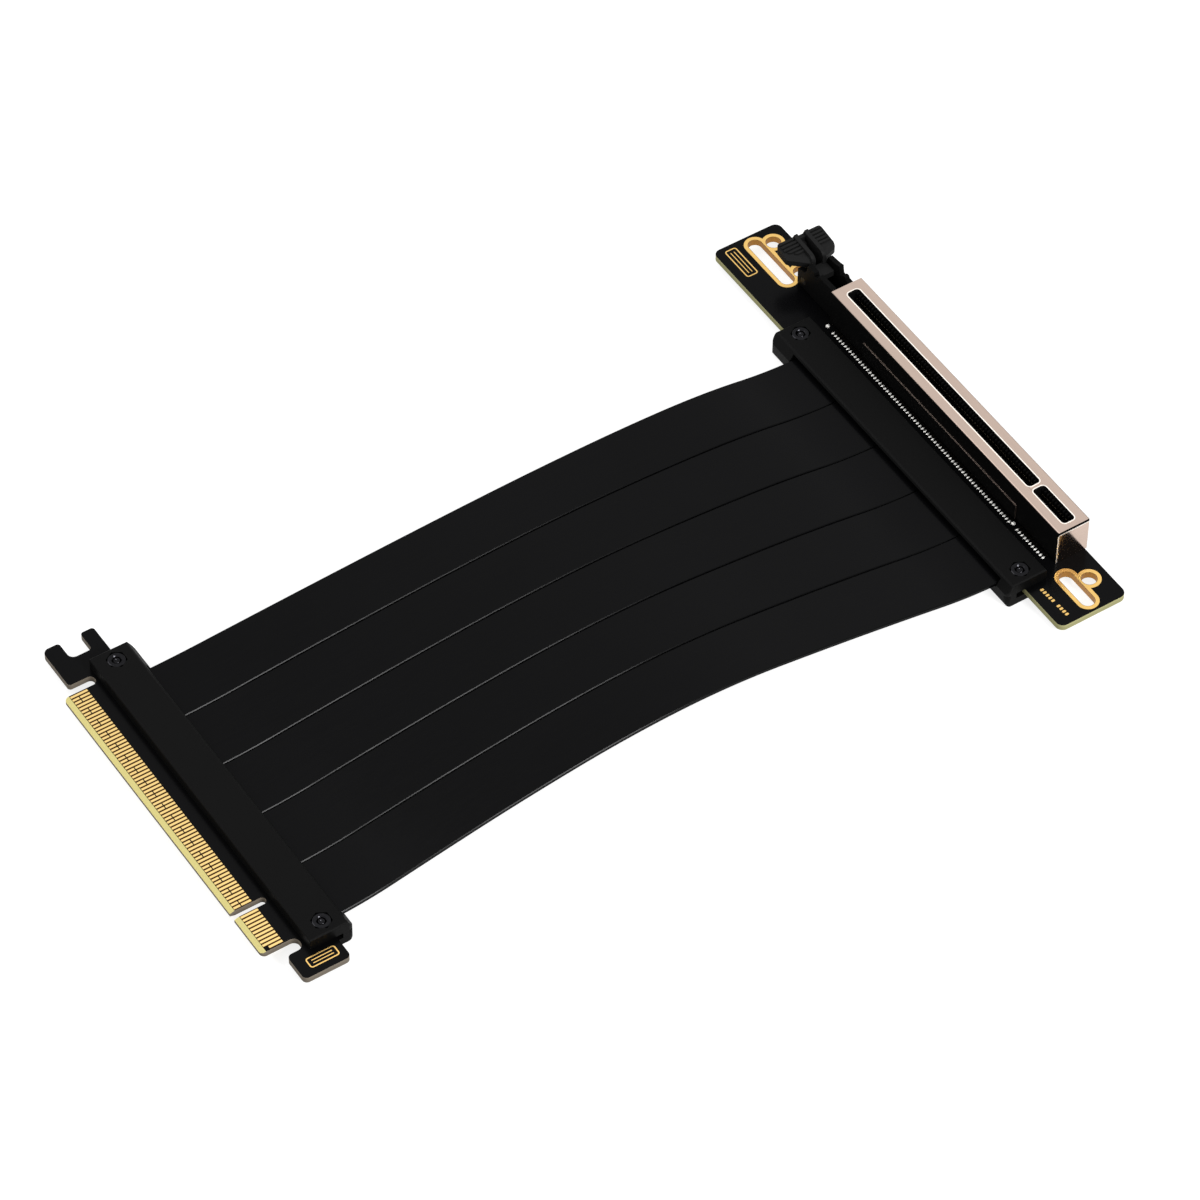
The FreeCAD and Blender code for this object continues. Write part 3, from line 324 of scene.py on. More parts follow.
def seen_directly(tree):
    """One for what the lens sees, also in mirrors and panes, and zero for light on the part."""
    path = add_node(tree, "ShaderNodeLightPath").outputs
    seen = add_node(tree, "ShaderNodeMath",
                    {0: path["Is Camera Ray"], 1: path["Is Glossy Ray"]}, operation="MAXIMUM")
    shown = add_node(tree, "ShaderNodeMath",
                     {0: seen.outputs[0], 1: path["Is Transmission Ray"]}, operation="MAXIMUM")
    return shown.outputs[0]


def uneven_metal(name, tint, patch, shades, rough, detail=2.0):
    """A metal whose tint and roughness vary in patches of a size in millimetres."""
    material, tree = blank(name)
    place = add_node(tree, "ShaderNodeTexCoord").outputs["Object"]
    patches = add_node(tree, "ShaderNodeTexNoise",
                       {"Vector": place, "Scale": per(patch), "Detail": detail})
    mixed = add_node(tree, "ShaderNodeMix",
                     {0: patches.outputs[0], 6: rgba(tint, shades[0]), 7: rgba(tint, shades[1])},
                     data_type="RGBA")
    frosted = add_node(tree, "ShaderNodeMapRange",
                       {"Value": patches.outputs[0], **NOISE_SPAN,
                        "To Min": rough[0], "To Max": rough[1]})
    shader = add_node(tree, "ShaderNodeBsdfPrincipled", {
        "Base Color": mixed.outputs[2], "Roughness": frosted.outputs[0], "Metallic": 1.0})
    closed(tree, shader)
    return material


def gold_plating():
    # Hard gold over nickel: warm bright metal, very slightly uneven from the plating bath
    return uneven_metal("gold_plating", colours().gold, 2.5, (0.94, 1.04), (0.18, 0.26))


def painted_edge_highlight():
    # Painted highlight: nearly white, frosted metal, laid in strips on the shield's edges
    return uneven_metal("sheared_sheet_edge", colours().sheared, 0.3, (0.94, 1.05), (0.45, 0.6))


def tinned_metal():
    # Tin, reflowed: white metal, slightly frosted where it froze
    return uneven_metal("tin_reflowed", colours().tin, 0.2, (0.92, 1.05), (0.6, 0.75))


def blackened_steel():
    # Steel with black oxide: dark, oily lustre, brighter where it is rubbed
    return uneven_metal("steel_black_oxide", colours().steel, 0.5, (0.8, 1.3), (0.16, 0.28), 3.0)


def vinyl_jacket():
    # Calendered vinyl: an even satin black with faint draw lines along the run
    material, tree = blank("ribbon_jacket_vinyl")
    tint = colours().jacket
    place = add_node(tree, "ShaderNodeTexCoord").outputs["Object"]
    drawn = add_node(tree, "ShaderNodeMapping", {"Vector": place, "Scale": (0.02, 1.0, 1.0)})
    lines = add_node(tree, "ShaderNodeTexNoise",
                     {"Vector": drawn.outputs[0], "Scale": per(0.8), "Detail": 3.0})
    cloud = add_node(tree, "ShaderNodeTexNoise",
                     {"Vector": place, "Scale": per(22), "Detail": 2.0})
    black = add_node(tree, "ShaderNodeMix",
                     {0: cloud.outputs[0], 6: rgba(tint, 0.8), 7: rgba(tint, 1.2)},
                     data_type="RGBA")
    rough = add_node(tree, "ShaderNodeMapRange",
                     {"Value": lines.outputs[0], **NOISE_SPAN, "To Min": 0.18, "To Max": 0.24})
    relief = add_node(tree, "ShaderNodeBump",
                      {"Height": lines.outputs[0], "Strength": 0.03, "Distance": 0.03 * MM})
    shader = add_node(tree, "ShaderNodeBsdfPrincipled", {
        "Base Color": black.outputs[2], "Roughness": rough.outputs[0],
        "Normal": relief.outputs[0], "Specular IOR Level": SATIN, "IOR": 1.5})
    closed(tree, shader)
    return material


def moulded_cover():
    # Injection-moulded ABS, spark-eroded mould: fine satin grain, drawn coarser than life to show
    material, tree = blank("cover_abs_moulded")
    tint = colours().cover
    place = add_node(tree, "ShaderNodeTexCoord").outputs["Object"]
    grain = add_node(tree, "ShaderNodeTexNoise",
                     {"Vector": place, "Scale": per(0.3), "Detail": 4.0})
    cloud = add_node(tree, "ShaderNodeTexNoise",
                     {"Vector": place, "Scale": per(15), "Detail": 2.0})
    black = add_node(tree, "ShaderNodeMix",
                     {0: cloud.outputs[0], 6: rgba(tint, 0.8), 7: rgba(tint, 1.2)},
                     data_type="RGBA")
    rough = add_node(tree, "ShaderNodeMapRange",
                     {"Value": grain.outputs[0], **NOISE_SPAN, "To Min": 0.5, "To Max": 0.62})
    relief = add_node(tree, "ShaderNodeBump",
                      {"Height": grain.outputs[0], "Strength": 0.12, "Distance": 0.03 * MM})
    shader = add_node(tree, "ShaderNodeBsdfPrincipled", {
        "Base Color": black.outputs[2], "Roughness": rough.outputs[0],
        "Normal": relief.outputs[0], "Specular IOR Level": SATIN, "IOR": 1.54})
    closed(tree, shader)
    return material


def slot_moulding(name, shade, gloss):
    # Glass-filled liquid-crystal polymer: matte black with short pale fibre streaks
    material, tree = blank(name)
    tint = getattr(colours(), shade)
    place = add_node(tree, "ShaderNodeTexCoord").outputs["Object"]
    flow = add_node(tree, "ShaderNodeMapping", {"Vector": place, "Scale": (1.0, 0.25, 1.0)})
    fibre = add_node(tree, "ShaderNodeTexNoise",
                     {"Vector": flow.outputs[0], "Scale": per(0.25), "Detail": 4.0})
    black = add_node(tree, "ShaderNodeMix",
                     {0: fibre.outputs[0], 6: rgba(tint, 0.75), 7: rgba(tint, 1.25)},
                     data_type="RGBA")
    rough = add_node(tree, "ShaderNodeMapRange",
                     {"Value": fibre.outputs[0], **NOISE_SPAN, "To Min": 0.5, "To Max": 0.62})
    relief = add_node(tree, "ShaderNodeBump",
                      {"Height": fibre.outputs[0], "Strength": 0.1, "Distance": 0.03 * MM})
    shader = add_node(tree, "ShaderNodeBsdfPrincipled", {
        "Base Color": black.outputs[2], "Roughness": rough.outputs[0],
        "Normal": relief.outputs[0], "Specular IOR Level": gloss, "IOR": 1.6})
    closed(tree, shader)
    return material


def masked_board(name, edge, tip):
    # Glass-epoxy board: satin black mask on the faces, pale cut laminate with ply lines on the
    # edges, and a plain tint on the bevels
    material, tree = blank(name)
    tint = colours().mask
    place = add_node(tree, "ShaderNodeTexCoord").outputs["Object"]
    facing = add_node(tree, "ShaderNodeNewGeometry").outputs["Normal"]
    upright = add_node(tree, "ShaderNodeSeparateXYZ", {0: facing}).outputs["Z"]
    level = add_node(tree, "ShaderNodeMath", {0: upright}, operation="ABSOLUTE").outputs[0]
    face = add_node(tree, "ShaderNodeMath", {0: level, 1: MASKED}, operation="GREATER_THAN")
    slope = add_node(tree, "ShaderNodeMath", {0: level, 1: BEVELLED}, operation="GREATER_THAN")
    weave = add_node(tree, "ShaderNodeTexNoise",
                     {"Vector": place, "Scale": per(0.5), "Detail": 2.0})
    plies = add_node(tree, "ShaderNodeTexWave",
                     {"Vector": place, "Scale": per(0.4) / WAVE_RATE, "Distortion": 1.0},
                     wave_type="BANDS", bands_direction="Z")
    ply = add_node(tree, "ShaderNodeMix",
                   {0: plies.outputs["Fac"], 6: rgba(edge, 0.78), 7: rgba(edge)},
                   data_type="RGBA")
    bare = add_node(tree, "ShaderNodeMix",
                    {0: slope.outputs[0], 6: ply.outputs[2], 7: rgba(tip)}, data_type="RGBA")
    mask = add_node(tree, "ShaderNodeMix",
                    {0: weave.outputs[0], 6: rgba(tint, 0.8), 7: rgba(tint, 1.2)},
                    data_type="RGBA")
    skin = add_node(tree, "ShaderNodeMix",
                    {0: face.outputs[0], 6: bare.outputs[2], 7: mask.outputs[2]},
                    data_type="RGBA")
    rough = add_node(tree, "ShaderNodeMapRange",
                     {"Value": face.outputs[0], "To Min": 0.6, "To Max": 0.22})
    relief = add_node(tree, "ShaderNodeBump",
                      {"Height": weave.outputs[0], "Strength": 0.06, "Distance": 0.02 * MM})
    shader = add_node(tree, "ShaderNodeBsdfPrincipled", {
        "Base Color": skin.outputs[2], "Roughness": rough.outputs[0],
        "Normal": relief.outputs[0], "Specular IOR Level": SATIN, "IOR": 1.5})
    closed(tree, shader)
    return material


def finger_gold_painted_light():
    # Hard gold on etched fingers: a painted highlight along the middle, painted shade at the edges
    material, tree = blank("gold_on_etched_fingers")
    place = add_node(tree, "ShaderNodeTexCoord").outputs["Object"]
    across = add_node(tree, "ShaderNodeSeparateXYZ", {0: place}).outputs["Y"]
    offset = add_node(tree, "ShaderNodeMath", {0: across, 1: FIRST_PIN_Y}, operation="SUBTRACT")
    fold = add_node(tree, "ShaderNodeMath", {0: offset.outputs[0], 1: PIN_PITCH / 2},
                    operation="PINGPONG")
    # Painted shade: the finger turns brown towards its edges
    edge = add_node(tree, "ShaderNodeMapRange",
                    {"Value": fold.outputs[0], "From Min": FINGER_WIDTH * FINGER_SHADE[0],
                     "From Max": FINGER_WIDTH * FINGER_SHADE[1]})
    tint = add_node(tree, "ShaderNodeMix",
                    {0: edge.outputs[0], 6: rgba(colours().finger_highlight_gold),
                     7: rgba(colours().finger_edge_shade)}, data_type="RGBA")
    shader = add_node(tree, "ShaderNodeBsdfPrincipled", {
        "Base Color": tint.outputs[2], "Roughness": 0.2, "Metallic": 1.0})
    closed(tree, shader)
    return material


def bore_plating_painted_shade():
    # Gold over drilled and routed copper: rougher than the flat plating, streaked from the cutter,
    # and browner as painted shade inside the openings
    material, tree = blank("gold_on_routed_bore")
    tint = colours().bore_gold_shaded
    place = add_node(tree, "ShaderNodeTexCoord").outputs["Object"]
    cut = add_node(tree, "ShaderNodeMapping", {"Vector": place, "Scale": (1.0, 1.0, 0.2)})
    streak = add_node(tree, "ShaderNodeTexNoise",
                      {"Vector": cut.outputs[0], "Scale": per(0.4), "Detail": 2.0})
    mixed = add_node(tree, "ShaderNodeMix",
                     {0: streak.outputs[0], 6: rgba(tint, 0.7), 7: rgba(tint, 1.25)},
                     data_type="RGBA")
    rough = add_node(tree, "ShaderNodeMapRange",
                     {"Value": streak.outputs[0], "To Min": 0.3, "To Max": 0.5})
    shader = add_node(tree, "ShaderNodeBsdfPrincipled", {
        "Base Color": mixed.outputs[2], "Roughness": rough.outputs[0], "Metallic": 1.0})
    closed(tree, shader)
    return material


def nickel_plating():
    # Nickel on bright rolled sheet: a warm silver mirror, darker on the low ledges; faces turned
    # sideways are matte black; a black band over the seam above the end plate is painted shade
    material, tree = blank("nickel_plated_sheet")
    nickel = colours().nickel
    place = add_node(tree, "ShaderNodeTexCoord").outputs["Object"]
    facing = add_node(tree, "ShaderNodeNewGeometry").outputs["Normal"]
    spot = add_node(tree, "ShaderNodeSeparateXYZ", {0: place}).outputs
    way = add_node(tree, "ShaderNodeSeparateXYZ", {0: facing}).outputs
    lean = add_node(tree, "ShaderNodeMath", {0: way["X"]}, operation="ABSOLUTE")
    wall = add_node(tree, "ShaderNodeMapRange",
                    {"Value": lean.outputs[0], "From Min": SIDE_BLACK_STARTS, "From Max": SIDE_BLACK_COVERS})
    # A black band of painted shade over the seam at the top of the end plate
    front = add_node(tree, "ShaderNodeMath", {0: spot["Y"], 1: END_PLATE_Y},
                     operation="LESS_THAN")
    seam = add_node(tree, "ShaderNodeMath", {0: spot["Z"], 1: SEAM_SHADE_Z, 2: SEAM_DEPTH / 2},
                    operation="COMPARE")
    shade = add_node(tree, "ShaderNodeMath", {0: front.outputs[0], 1: seam.outputs[0]},
                     operation="MULTIPLY")
    side_black_and_seam_shade = add_node(tree, "ShaderNodeMath", {0: wall.outputs[0], 1: shade.outputs[0]},
                    operation="MAXIMUM")
    metal = add_node(tree, "ShaderNodeMath", {0: 1.0, 1: side_black_and_seam_shade.outputs[0]}, operation="SUBTRACT")
    # Upward faces low on the shield, on its ledges, come out darker
    low = add_node(tree, "ShaderNodeMath", {0: spot["Z"], 1: LEDGE_Z}, operation="LESS_THAN")
    ledge = add_node(tree, "ShaderNodeMath", {0: low.outputs[0], 1: way["Z"]},
                     operation="MULTIPLY")
    rolled = add_node(tree, "ShaderNodeMapping", {"Vector": place, "Scale": (1.0, 0.1, 1.0)})
    cloud = add_node(tree, "ShaderNodeTexNoise",
                     {"Vector": rolled.outputs[0], "Scale": per(1.2), "Detail": 3.0})
    plate = add_node(tree, "ShaderNodeMix",
                     {0: cloud.outputs[0], 6: rgba(nickel, 0.95), 7: rgba(nickel, 1.05)},
                     data_type="RGBA")
    darker_ledges = add_node(tree, "ShaderNodeMix",
                      {0: ledge.outputs[0], 6: plate.outputs[2], 7: rgba(nickel, 0.6)},
                      data_type="RGBA")
    tint = add_node(tree, "ShaderNodeMix",
                    {0: metal.outputs[0], 6: rgba(colours().side_black_and_seam_shade), 7: darker_ledges.outputs[2]},
                    data_type="RGBA")
    rough = add_node(tree, "ShaderNodeMapRange",
                     {"Value": metal.outputs[0], "To Min": 0.7, "To Max": 0.14})
    shader = add_node(tree, "ShaderNodeBsdfPrincipled", {
        "Base Color": tint.outputs[2], "Roughness": rough.outputs[0],
        "Metallic": metal.outputs[0], "Specular IOR Level": 0.03})
    closed(tree, shader)
    return material


def contact_alloy():
    # Copper alloy strip: alloy feet at the board, gold flash towards the tips in the slot; both
    # tones are darkened as painted shade, the feet by the shield wall, the tips down in the windows
    material, tree = blank("contact_copper_alloy")
    place = add_node(tree, "ShaderNodeTexCoord").outputs["Object"]
    height = add_node(tree, "ShaderNodeSeparateXYZ", {0: place}).outputs["Z"]
    tip = add_node(tree, "ShaderNodeMapRange",
                   {"Value": height, "From Min": FLASH_FROM, "From Max": FLASH_TO})
    tint = add_node(tree, "ShaderNodeMix",
                    {0: tip.outputs[0], 6: rgba(colours().alloy), 7: rgba(colours().flash)},
                    data_type="RGBA")
    shader = add_node(tree, "ShaderNodeBsdfPrincipled", {
        "Base Color": tint.outputs[2], "Roughness": 0.3, "Metallic": 1.0})
    closed(tree, shader)
    return material


def pale_floor():
    # Matte card that is plain white to the lens and in reflections, and keeps a soft shadow
    material, tree = blank("floor_card")
    glow = add_node(tree, "ShaderNodeMath", {0: seen_directly(tree), 1: FLOOR_GLOW},
                    operation="MULTIPLY")
    shader = add_node(tree, "ShaderNodeBsdfPrincipled", {
        "Base Color": rgba(colours().floor), "Roughness": 0.9, "Specular IOR Level": 0.0,
        "Emission Color": WHITE, "Emission Strength": glow.outputs[0]})
    closed(tree, shader)
    return material


@functools.cache
def finish(make, *choices):
    """The material that a function makes from its choices, made once."""
    return make(*choices)


# Making pieces


def linked(name, data):
    """An object at the origin, in the scene."""
    obj = bpy.data.objects.new(name, data)
    bpy.context.scene.collection.objects.link(obj)
    return obj


def as_mesh(bm, name):
    """Turns a bmesh into a mesh and lets it go."""
    mesh = bpy.data.meshes.new(name)
    bm.to_mesh(mesh)
    bm.free()
    return mesh


def piece(name, mesh, material, body="base", crease=35):
    """A finished piece: smooth up to a crease angle, with its finish, riding on a body."""
    mesh.materials.clear()
    mesh.materials.append(material)
    mesh.shade_smooth()
    mesh.set_sharp_from_angle(angle=math.radians(crease))
    obj = linked(name, mesh)
    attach(obj, body)
    return obj


def combined(name, base, steps):
    """The mesh of a solid after others are joined to it, cut from it or met with it."""
    main = linked(name, base)
    helpers = []
    for i, (operation, tool) in enumerate(steps):
        helper = linked(name + "_tool_%d" % i, tool)
        helpers.append(helper)
        modifier = main.modifiers.new("step_%d" % i, "BOOLEAN")
        modifier.operation = operation
        modifier.solver = "EXACT"
        modifier.object = helper
    view = bpy.context.evaluated_depsgraph_get()
    mesh = bpy.data.meshes.new_from_object(main.evaluated_get(view), depsgraph=view)
    for obj in [main, *helpers]:
        bpy.data.objects.remove(obj)
    if not mesh.polygons:
        raise RuntimeError(name + " came out empty")
    return mesh


def merged(name, meshes):
    """One mesh from several."""
    bm = bmesh.new()
    for mesh in meshes:
        bm.from_mesh(mesh)
    return as_mesh(bm, name)


def scaled(place, size):
    """The matrix that gives a unit shape its place and size."""
    return Matrix.Translation(place) @ Matrix.Diagonal((*size, 1.0))


def thicken(bm, height):
    """Draws a flat face up into a solid with upright sides."""
    made = bmesh.ops.extrude_face_region(bm, geom=bm.faces[:])
    top = [item for item in made["geom"] if isinstance(item, bmesh.types.BMVert)]
    bmesh.ops.translate(bm, verts=top, vec=(0, 0, height))
    bmesh.ops.recalc_face_normals(bm, faces=bm.faces)


def opening_prism(place, grow, z_low, z_high, steps=24):
    """An upright prism with round ends, long in Y, over one opening and grown by a margin."""
    x, y, width, run = place
    bm = bmesh.new()
    bmesh.ops.create_circle(bm, cap_ends=True, segments=2 * steps, radius=width / 2 + grow)
    reach = (run - width) / 2
    for vert in bm.verts:
        if abs(vert.co.y) > CLOSE:
            vert.co.y += math.copysign(reach, vert.co.y)
    thicken(bm, z_high - z_low)
    bmesh.ops.translate(bm, verts=bm.verts, vec=(x, y, z_low))
    return as_mesh(bm, "opening")


def rounded_plate(x_range, y_range, z_range, corner=0.0):
    """A flat plate with upright sides, and round corners where a radius is given."""
    (x_low, x_high), (y_low, y_high), (z_low, z_high) = x_range, y_range, z_range
    middle = ((x_low + x_high) / 2, (y_low + y_high) / 2, z_low)
    bm = bmesh.new()
    bmesh.ops.create_grid(bm, x_segments=1, y_segments=1, size=0.5,
                          matrix=scaled(middle, (x_high - x_low, y_high - y_low, 1.0)))
    if corner > 0:
        bmesh.ops.bevel(bm, geom=bm.verts[:], offset=corner, offset_type="OFFSET", segments=5,
                        profile=0.5, affect="VERTICES", material=-1)
    thicken(bm, z_high - z_low)
    return as_mesh(bm, "plate")


def lathe(profile, place, steps=32):
    """A solid of revolution about an upright axis, from radius and height pairs."""
    bm = bmesh.new()
    points = [bm.verts.new((radius, 0, z)) for radius, z in profile]
    edges = [bm.edges.new(pair) for pair in zip(points, points[1:])]
    bmesh.ops.spin(bm, geom=points + edges, axis=(0, 0, 1), cent=(0, 0, 0), angle=2 * math.pi,
                   steps=steps, use_merge=True)
    bmesh.ops.remove_doubles(bm, verts=bm.verts, dist=CLOSE)
    bmesh.ops.holes_fill(bm, edges=bm.edges)
    bmesh.ops.recalc_face_normals(bm, faces=bm.faces)
    bmesh.ops.translate(bm, verts=bm.verts, vec=place)
    return as_mesh(bm, "turned")


def spline_points(points):
    """Points along the smooth line that has the given control points."""
    curve = bpy.data.curves.new("route", "CURVE")
    curve.dimensions = "3D"
    curve.resolution_u = ROUTE_STEPS
    spline = curve.splines.new("NURBS")
    spline.points.add(len(points) - 1)
    for target, point in zip(spline.points, points):
        target.co = (*point, 1.0)
    spline.order_u = ROUTE_ORDER
    spline.use_endpoint_u = True
    holder = bpy.data.objects.new("route", curve)
    mesh = bpy.data.meshes.new_from_object(holder)
    line = [vert.co.copy() for vert in mesh.vertices]
    bpy.data.objects.remove(holder)
    bpy.data.curves.remove(curve)
    bpy.data.meshes.remove(mesh)
    return line


def cable_line(y, lift=0.0):
    """The smooth line of the flat cable at one place across it, lifted between its clamped ends."""
    share = (y - CABLE_NEAR_Y) / (CABLE_FAR_Y - CABLE_NEAR_Y)
    points = []
    for x, near, far in ROUTE:
        rise = near + share * (far - near)
        points.append((x, y, RIBBON_LEVEL + rise + (lift if rise else 0.0)))
    return spline_points(points)


def soften(name, radius, segments=2, angle=38):
    """Breaks a solid's sharp edges: its loose faces are welded, then bevelled."""
    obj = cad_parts[name]
    weld = obj.modifiers.new("weld", "WELD")
    weld.merge_threshold = WELD
    bevel = obj.modifiers.new("edges", "BEVEL")
    bevel.width = radius
    bevel.segments = segments
    bevel.limit_method = "ANGLE"
    bevel.angle_limit = math.radians(angle)
    bevel.use_clamp_overlap = True
    bevel.harden_normals = True


def dress(names, material):
    """Gives solids their finish."""
    for name in names:
        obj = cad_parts[name]
        if not obj.material_slots:
            obj.data.materials.append(material)
        for entry in obj.material_slots:
            entry.material = material


# Operators, one for each group of pieces


class LayRibbons(bpy.types.Operator):
    """Lays the five flat ribbons along their smooth route"""

    bl_idname = "extension_cable.ribbons"
    bl_label = "Ribbons"

    def ribbon(self, near_y, far_y):
        """A flat ribbon with its upper long edges chamfered, and its near edge a little higher."""
        half, lift = sizes().ribbon_thickness / 2, sizes().ribbon_lift / 2
        edge = sizes().ribbon_edge
        section = (
            (near_y, -half, lift),
            (near_y, half - edge, lift),
            (near_y + edge, half, lift),
            (far_y - edge, half, -lift),
            (far_y, half - edge, -lift),
            (far_y, -half, -lift),
        )
        rows = [[point + Vector((0, 0, z)) for point in cable_line(y, rise)]
                for y, z, rise in section]
        last, end = len(rows) - 1, len(rows[0]) - 1
        bm = bmesh.new()
        bmesh.ops.create_grid(bm, x_segments=end, y_segments=last, size=0.5)
        sides = {0: set(), last: set()}
        for vert in bm.verts:
            along, across = round((vert.co.x + 0.5) * end), round((vert.co.y + 0.5) * last)
            vert.co = rows[across][along]
            sides.get(across, set()).add(vert)
        rails = [rail for rail in bm.edges for side in sides.values()
                 if side.issuperset(rail.verts)]
        bmesh.ops.bridge_loops(bm, edges=rails)
        bmesh.ops.holes_fill(bm, edges=bm.edges)
        bmesh.ops.recalc_face_normals(bm, faces=bm.faces)
        return as_mesh(bm, "ribbon")

    def execute(self, context):
        for index in range(1, 6):
            node = "ribbon_%d" % index
            low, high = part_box(node)
            mesh = self.ribbon(low.y, high.y)
            obj = piece("flat_ribbon_%d" % index, mesh, finish(vinyl_jacket), crease=30)
            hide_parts(node)
            path = cable_line((low.y + high.y) / 2)
        return {"FINISHED"}


class PlateRims(bpy.types.Operator):
    """Plates the slots and holes of the socket board: rims on both faces and sleeves between"""

    bl_idname = "extension_cable.plated_rims"
    bl_label = "Plated rims"

    def execute(self, context):
        wide, thick = sizes().rim_width, sizes().plating
        low, high = BOARD_BOTTOM - thick, BOARD_TOP + thick
        for side, openings in (("near", NEAR_OPENINGS), ("far", FAR_OPENINGS)):
            rims, bores = "plated_rims_" + side, "plated_bores_" + side
            plates = []
            for z_low, z_high in ((BOARD_TOP, high), (low, BOARD_BOTTOM)):
                first = opening_prism(openings[0], wide, z_low, z_high)
                steps = [("UNION", opening_prism(place, wide, z_low, z_high))
                         for place in openings[1:]]
                steps += [("DIFFERENCE", opening_prism(place, -thick, low - thick, high + thick))
                          for place in openings]
                plates.append(combined(rims, first, steps))
            sleeves = []
            for place in openings:
                tube = opening_prism(place, 0.0, low, high)
                bore = opening_prism(place, -thick, low - thick, high + thick)
                sleeves.append(combined(bores, tube, [("DIFFERENCE", bore)]))
            piece(rims, merged(rims, plates), finish(gold_plating))
            piece(bores, merged(bores, sleeves), finish(bore_plating_painted_shade))
        return {"FINISHED"}


class SolderFeet(bpy.types.Operator):
    """Solders the contact feet in a row beside the slot, and the two round pegs of its body"""

    bl_idname = "extension_cable.solder"
    bl_label = "Solder"

    def execute(self, context):
        foot = (sizes().solder_length / 2, sizes().solder_width / 2, sizes().solder_height)
        drops = [(ROW_X, y, foot, FOOT_FACETS) for y in PIN_ROW]
        drops += [(x, y, PEG_REACH, PEG_FACETS) for x, y in PEGS]
        bm = bmesh.new()
        for x, y, reach, (around, down) in drops:
            bmesh.ops.create_uvsphere(bm, u_segments=around, v_segments=down, radius=1.0,
                                      matrix=scaled((x, y, BOARD_TOP), reach))
        bmesh.ops.bisect_plane(bm, geom=bm.verts[:] + bm.edges[:] + bm.faces[:], dist=CLOSE,
                               plane_co=(0, 0, BOARD_TOP), plane_no=(0, 0, -1), clear_outer=True)
        bmesh.ops.holes_fill(bm, edges=bm.edges)
        bmesh.ops.recalc_face_normals(bm, faces=bm.faces)
        piece("solder_feet", as_mesh(bm, "solder_feet"), finish(tinned_metal), crease=60)
        return {"FINISHED"}


class FitFasteners(bpy.types.Operator):
    """Fits chamfered hexagon nuts and threaded countersunk screws in both clamps"""

    bl_idname = "extension_cable.fasteners"
    bl_label = "Nuts and screws"

    def nut(self, x, y):
        """A hexagon nut with a cone-chamfered top and a chamfered bore."""
        low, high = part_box("plug_nuts")[0].z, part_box("plug_nuts")[1].z
        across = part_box("plug_nuts")[1].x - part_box("plug_nuts")[0].x
        bm = bmesh.new()
        bmesh.ops.create_circle(bm, cap_ends=True, segments=6, radius=across / math.sqrt(3))
        bmesh.ops.rotate(bm, verts=bm.verts, cent=(0, 0, 0),
                         matrix=Matrix.Rotation(math.pi / 6, 3, "Z"))
        thicken(bm, high - low)
        bmesh.ops.translate(bm, verts=bm.verts, vec=(x, y, low))
        face, corner = across / 2 - NUT_FACE_INSET, across / math.sqrt(3) + NUT_CORNER_SPARE
        drop = (corner - face) * math.tan(NUT_CHAMFER)
        under, over = low - MM, high + MM
        cone = [(0, under), (corner, under), (corner, high - drop), (face, high), (0, high)]
        bore = [(0, under), (NUT_BORE, under), (NUT_BORE, high - (NUT_MOUTH - NUT_BORE)),
                (NUT_MOUTH, high), (NUT_MOUTH, over), (0, over)]
        steps = [("INTERSECT", lathe(cone, (x, y, 0))), ("DIFFERENCE", lathe(bore, (x, y, 0)))]
        return combined("nut", as_mesh(bm, "nut"), steps)

    def screw(self, x, y):
        """A countersunk screw: cross recess below, thread and a chamfered end above."""
        low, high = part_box("plug_screws")[0].z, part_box("plug_screws")[1].z
        pitch = sizes().thread_pitch
        profile = [(0, low), (HEAD_RADIUS - HEAD_LAND, low), (HEAD_RADIUS, low + HEAD_LAND),
                   (SHANK_RADIUS, low + HEAD_RADIUS - SHANK_RADIUS)]
        z = CLAMP_TOP - THREAD_START
        while z < high - PLAIN_TURNS * pitch:
            profile += [(SHANK_RADIUS, z), (SHANK_RADIUS - THREAD_DEPTH, z + pitch / 2)]
            z += pitch
        profile += [(SHANK_RADIUS, z), (SHANK_RADIUS, high - POINT_CHAMFER),
                    (SHANK_RADIUS - POINT_CHAMFER, high)]
        profile += [(radius, high - depth) for radius, depth in DIMPLE]
        steps = []
        for along, across in ((RECESS_LENGTH, RECESS_WIDTH), (RECESS_WIDTH, RECESS_LENGTH)):
            cut = bmesh.new()
            bmesh.ops.create_cube(cut, size=1.0, matrix=scaled(
                (x, y, low), (along, across, 2 * RECESS_DEPTH)))
            steps.append(("DIFFERENCE", as_mesh(cut, "recess")))
        return combined("screw", lathe(profile, (x, y, 0)), steps)

    def execute(self, context):
        for end in ("plug", "socket"):
            low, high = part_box(end + "_screws")
            x = (low.x + high.x) / 2
            rows = (low.y + HEAD_RADIUS, high.y - HEAD_RADIUS)
            for kind, make in (("nuts", self.nut), ("screws", self.screw)):
                name = "%s_clamp_%s" % (end, kind)
                mesh = merged(name, [make(x, y) for y in rows])
                obj = piece(name, mesh, finish(blackened_steel), crease=30)
                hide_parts("%s_%s" % (end, kind))
        return {"FINISHED"}


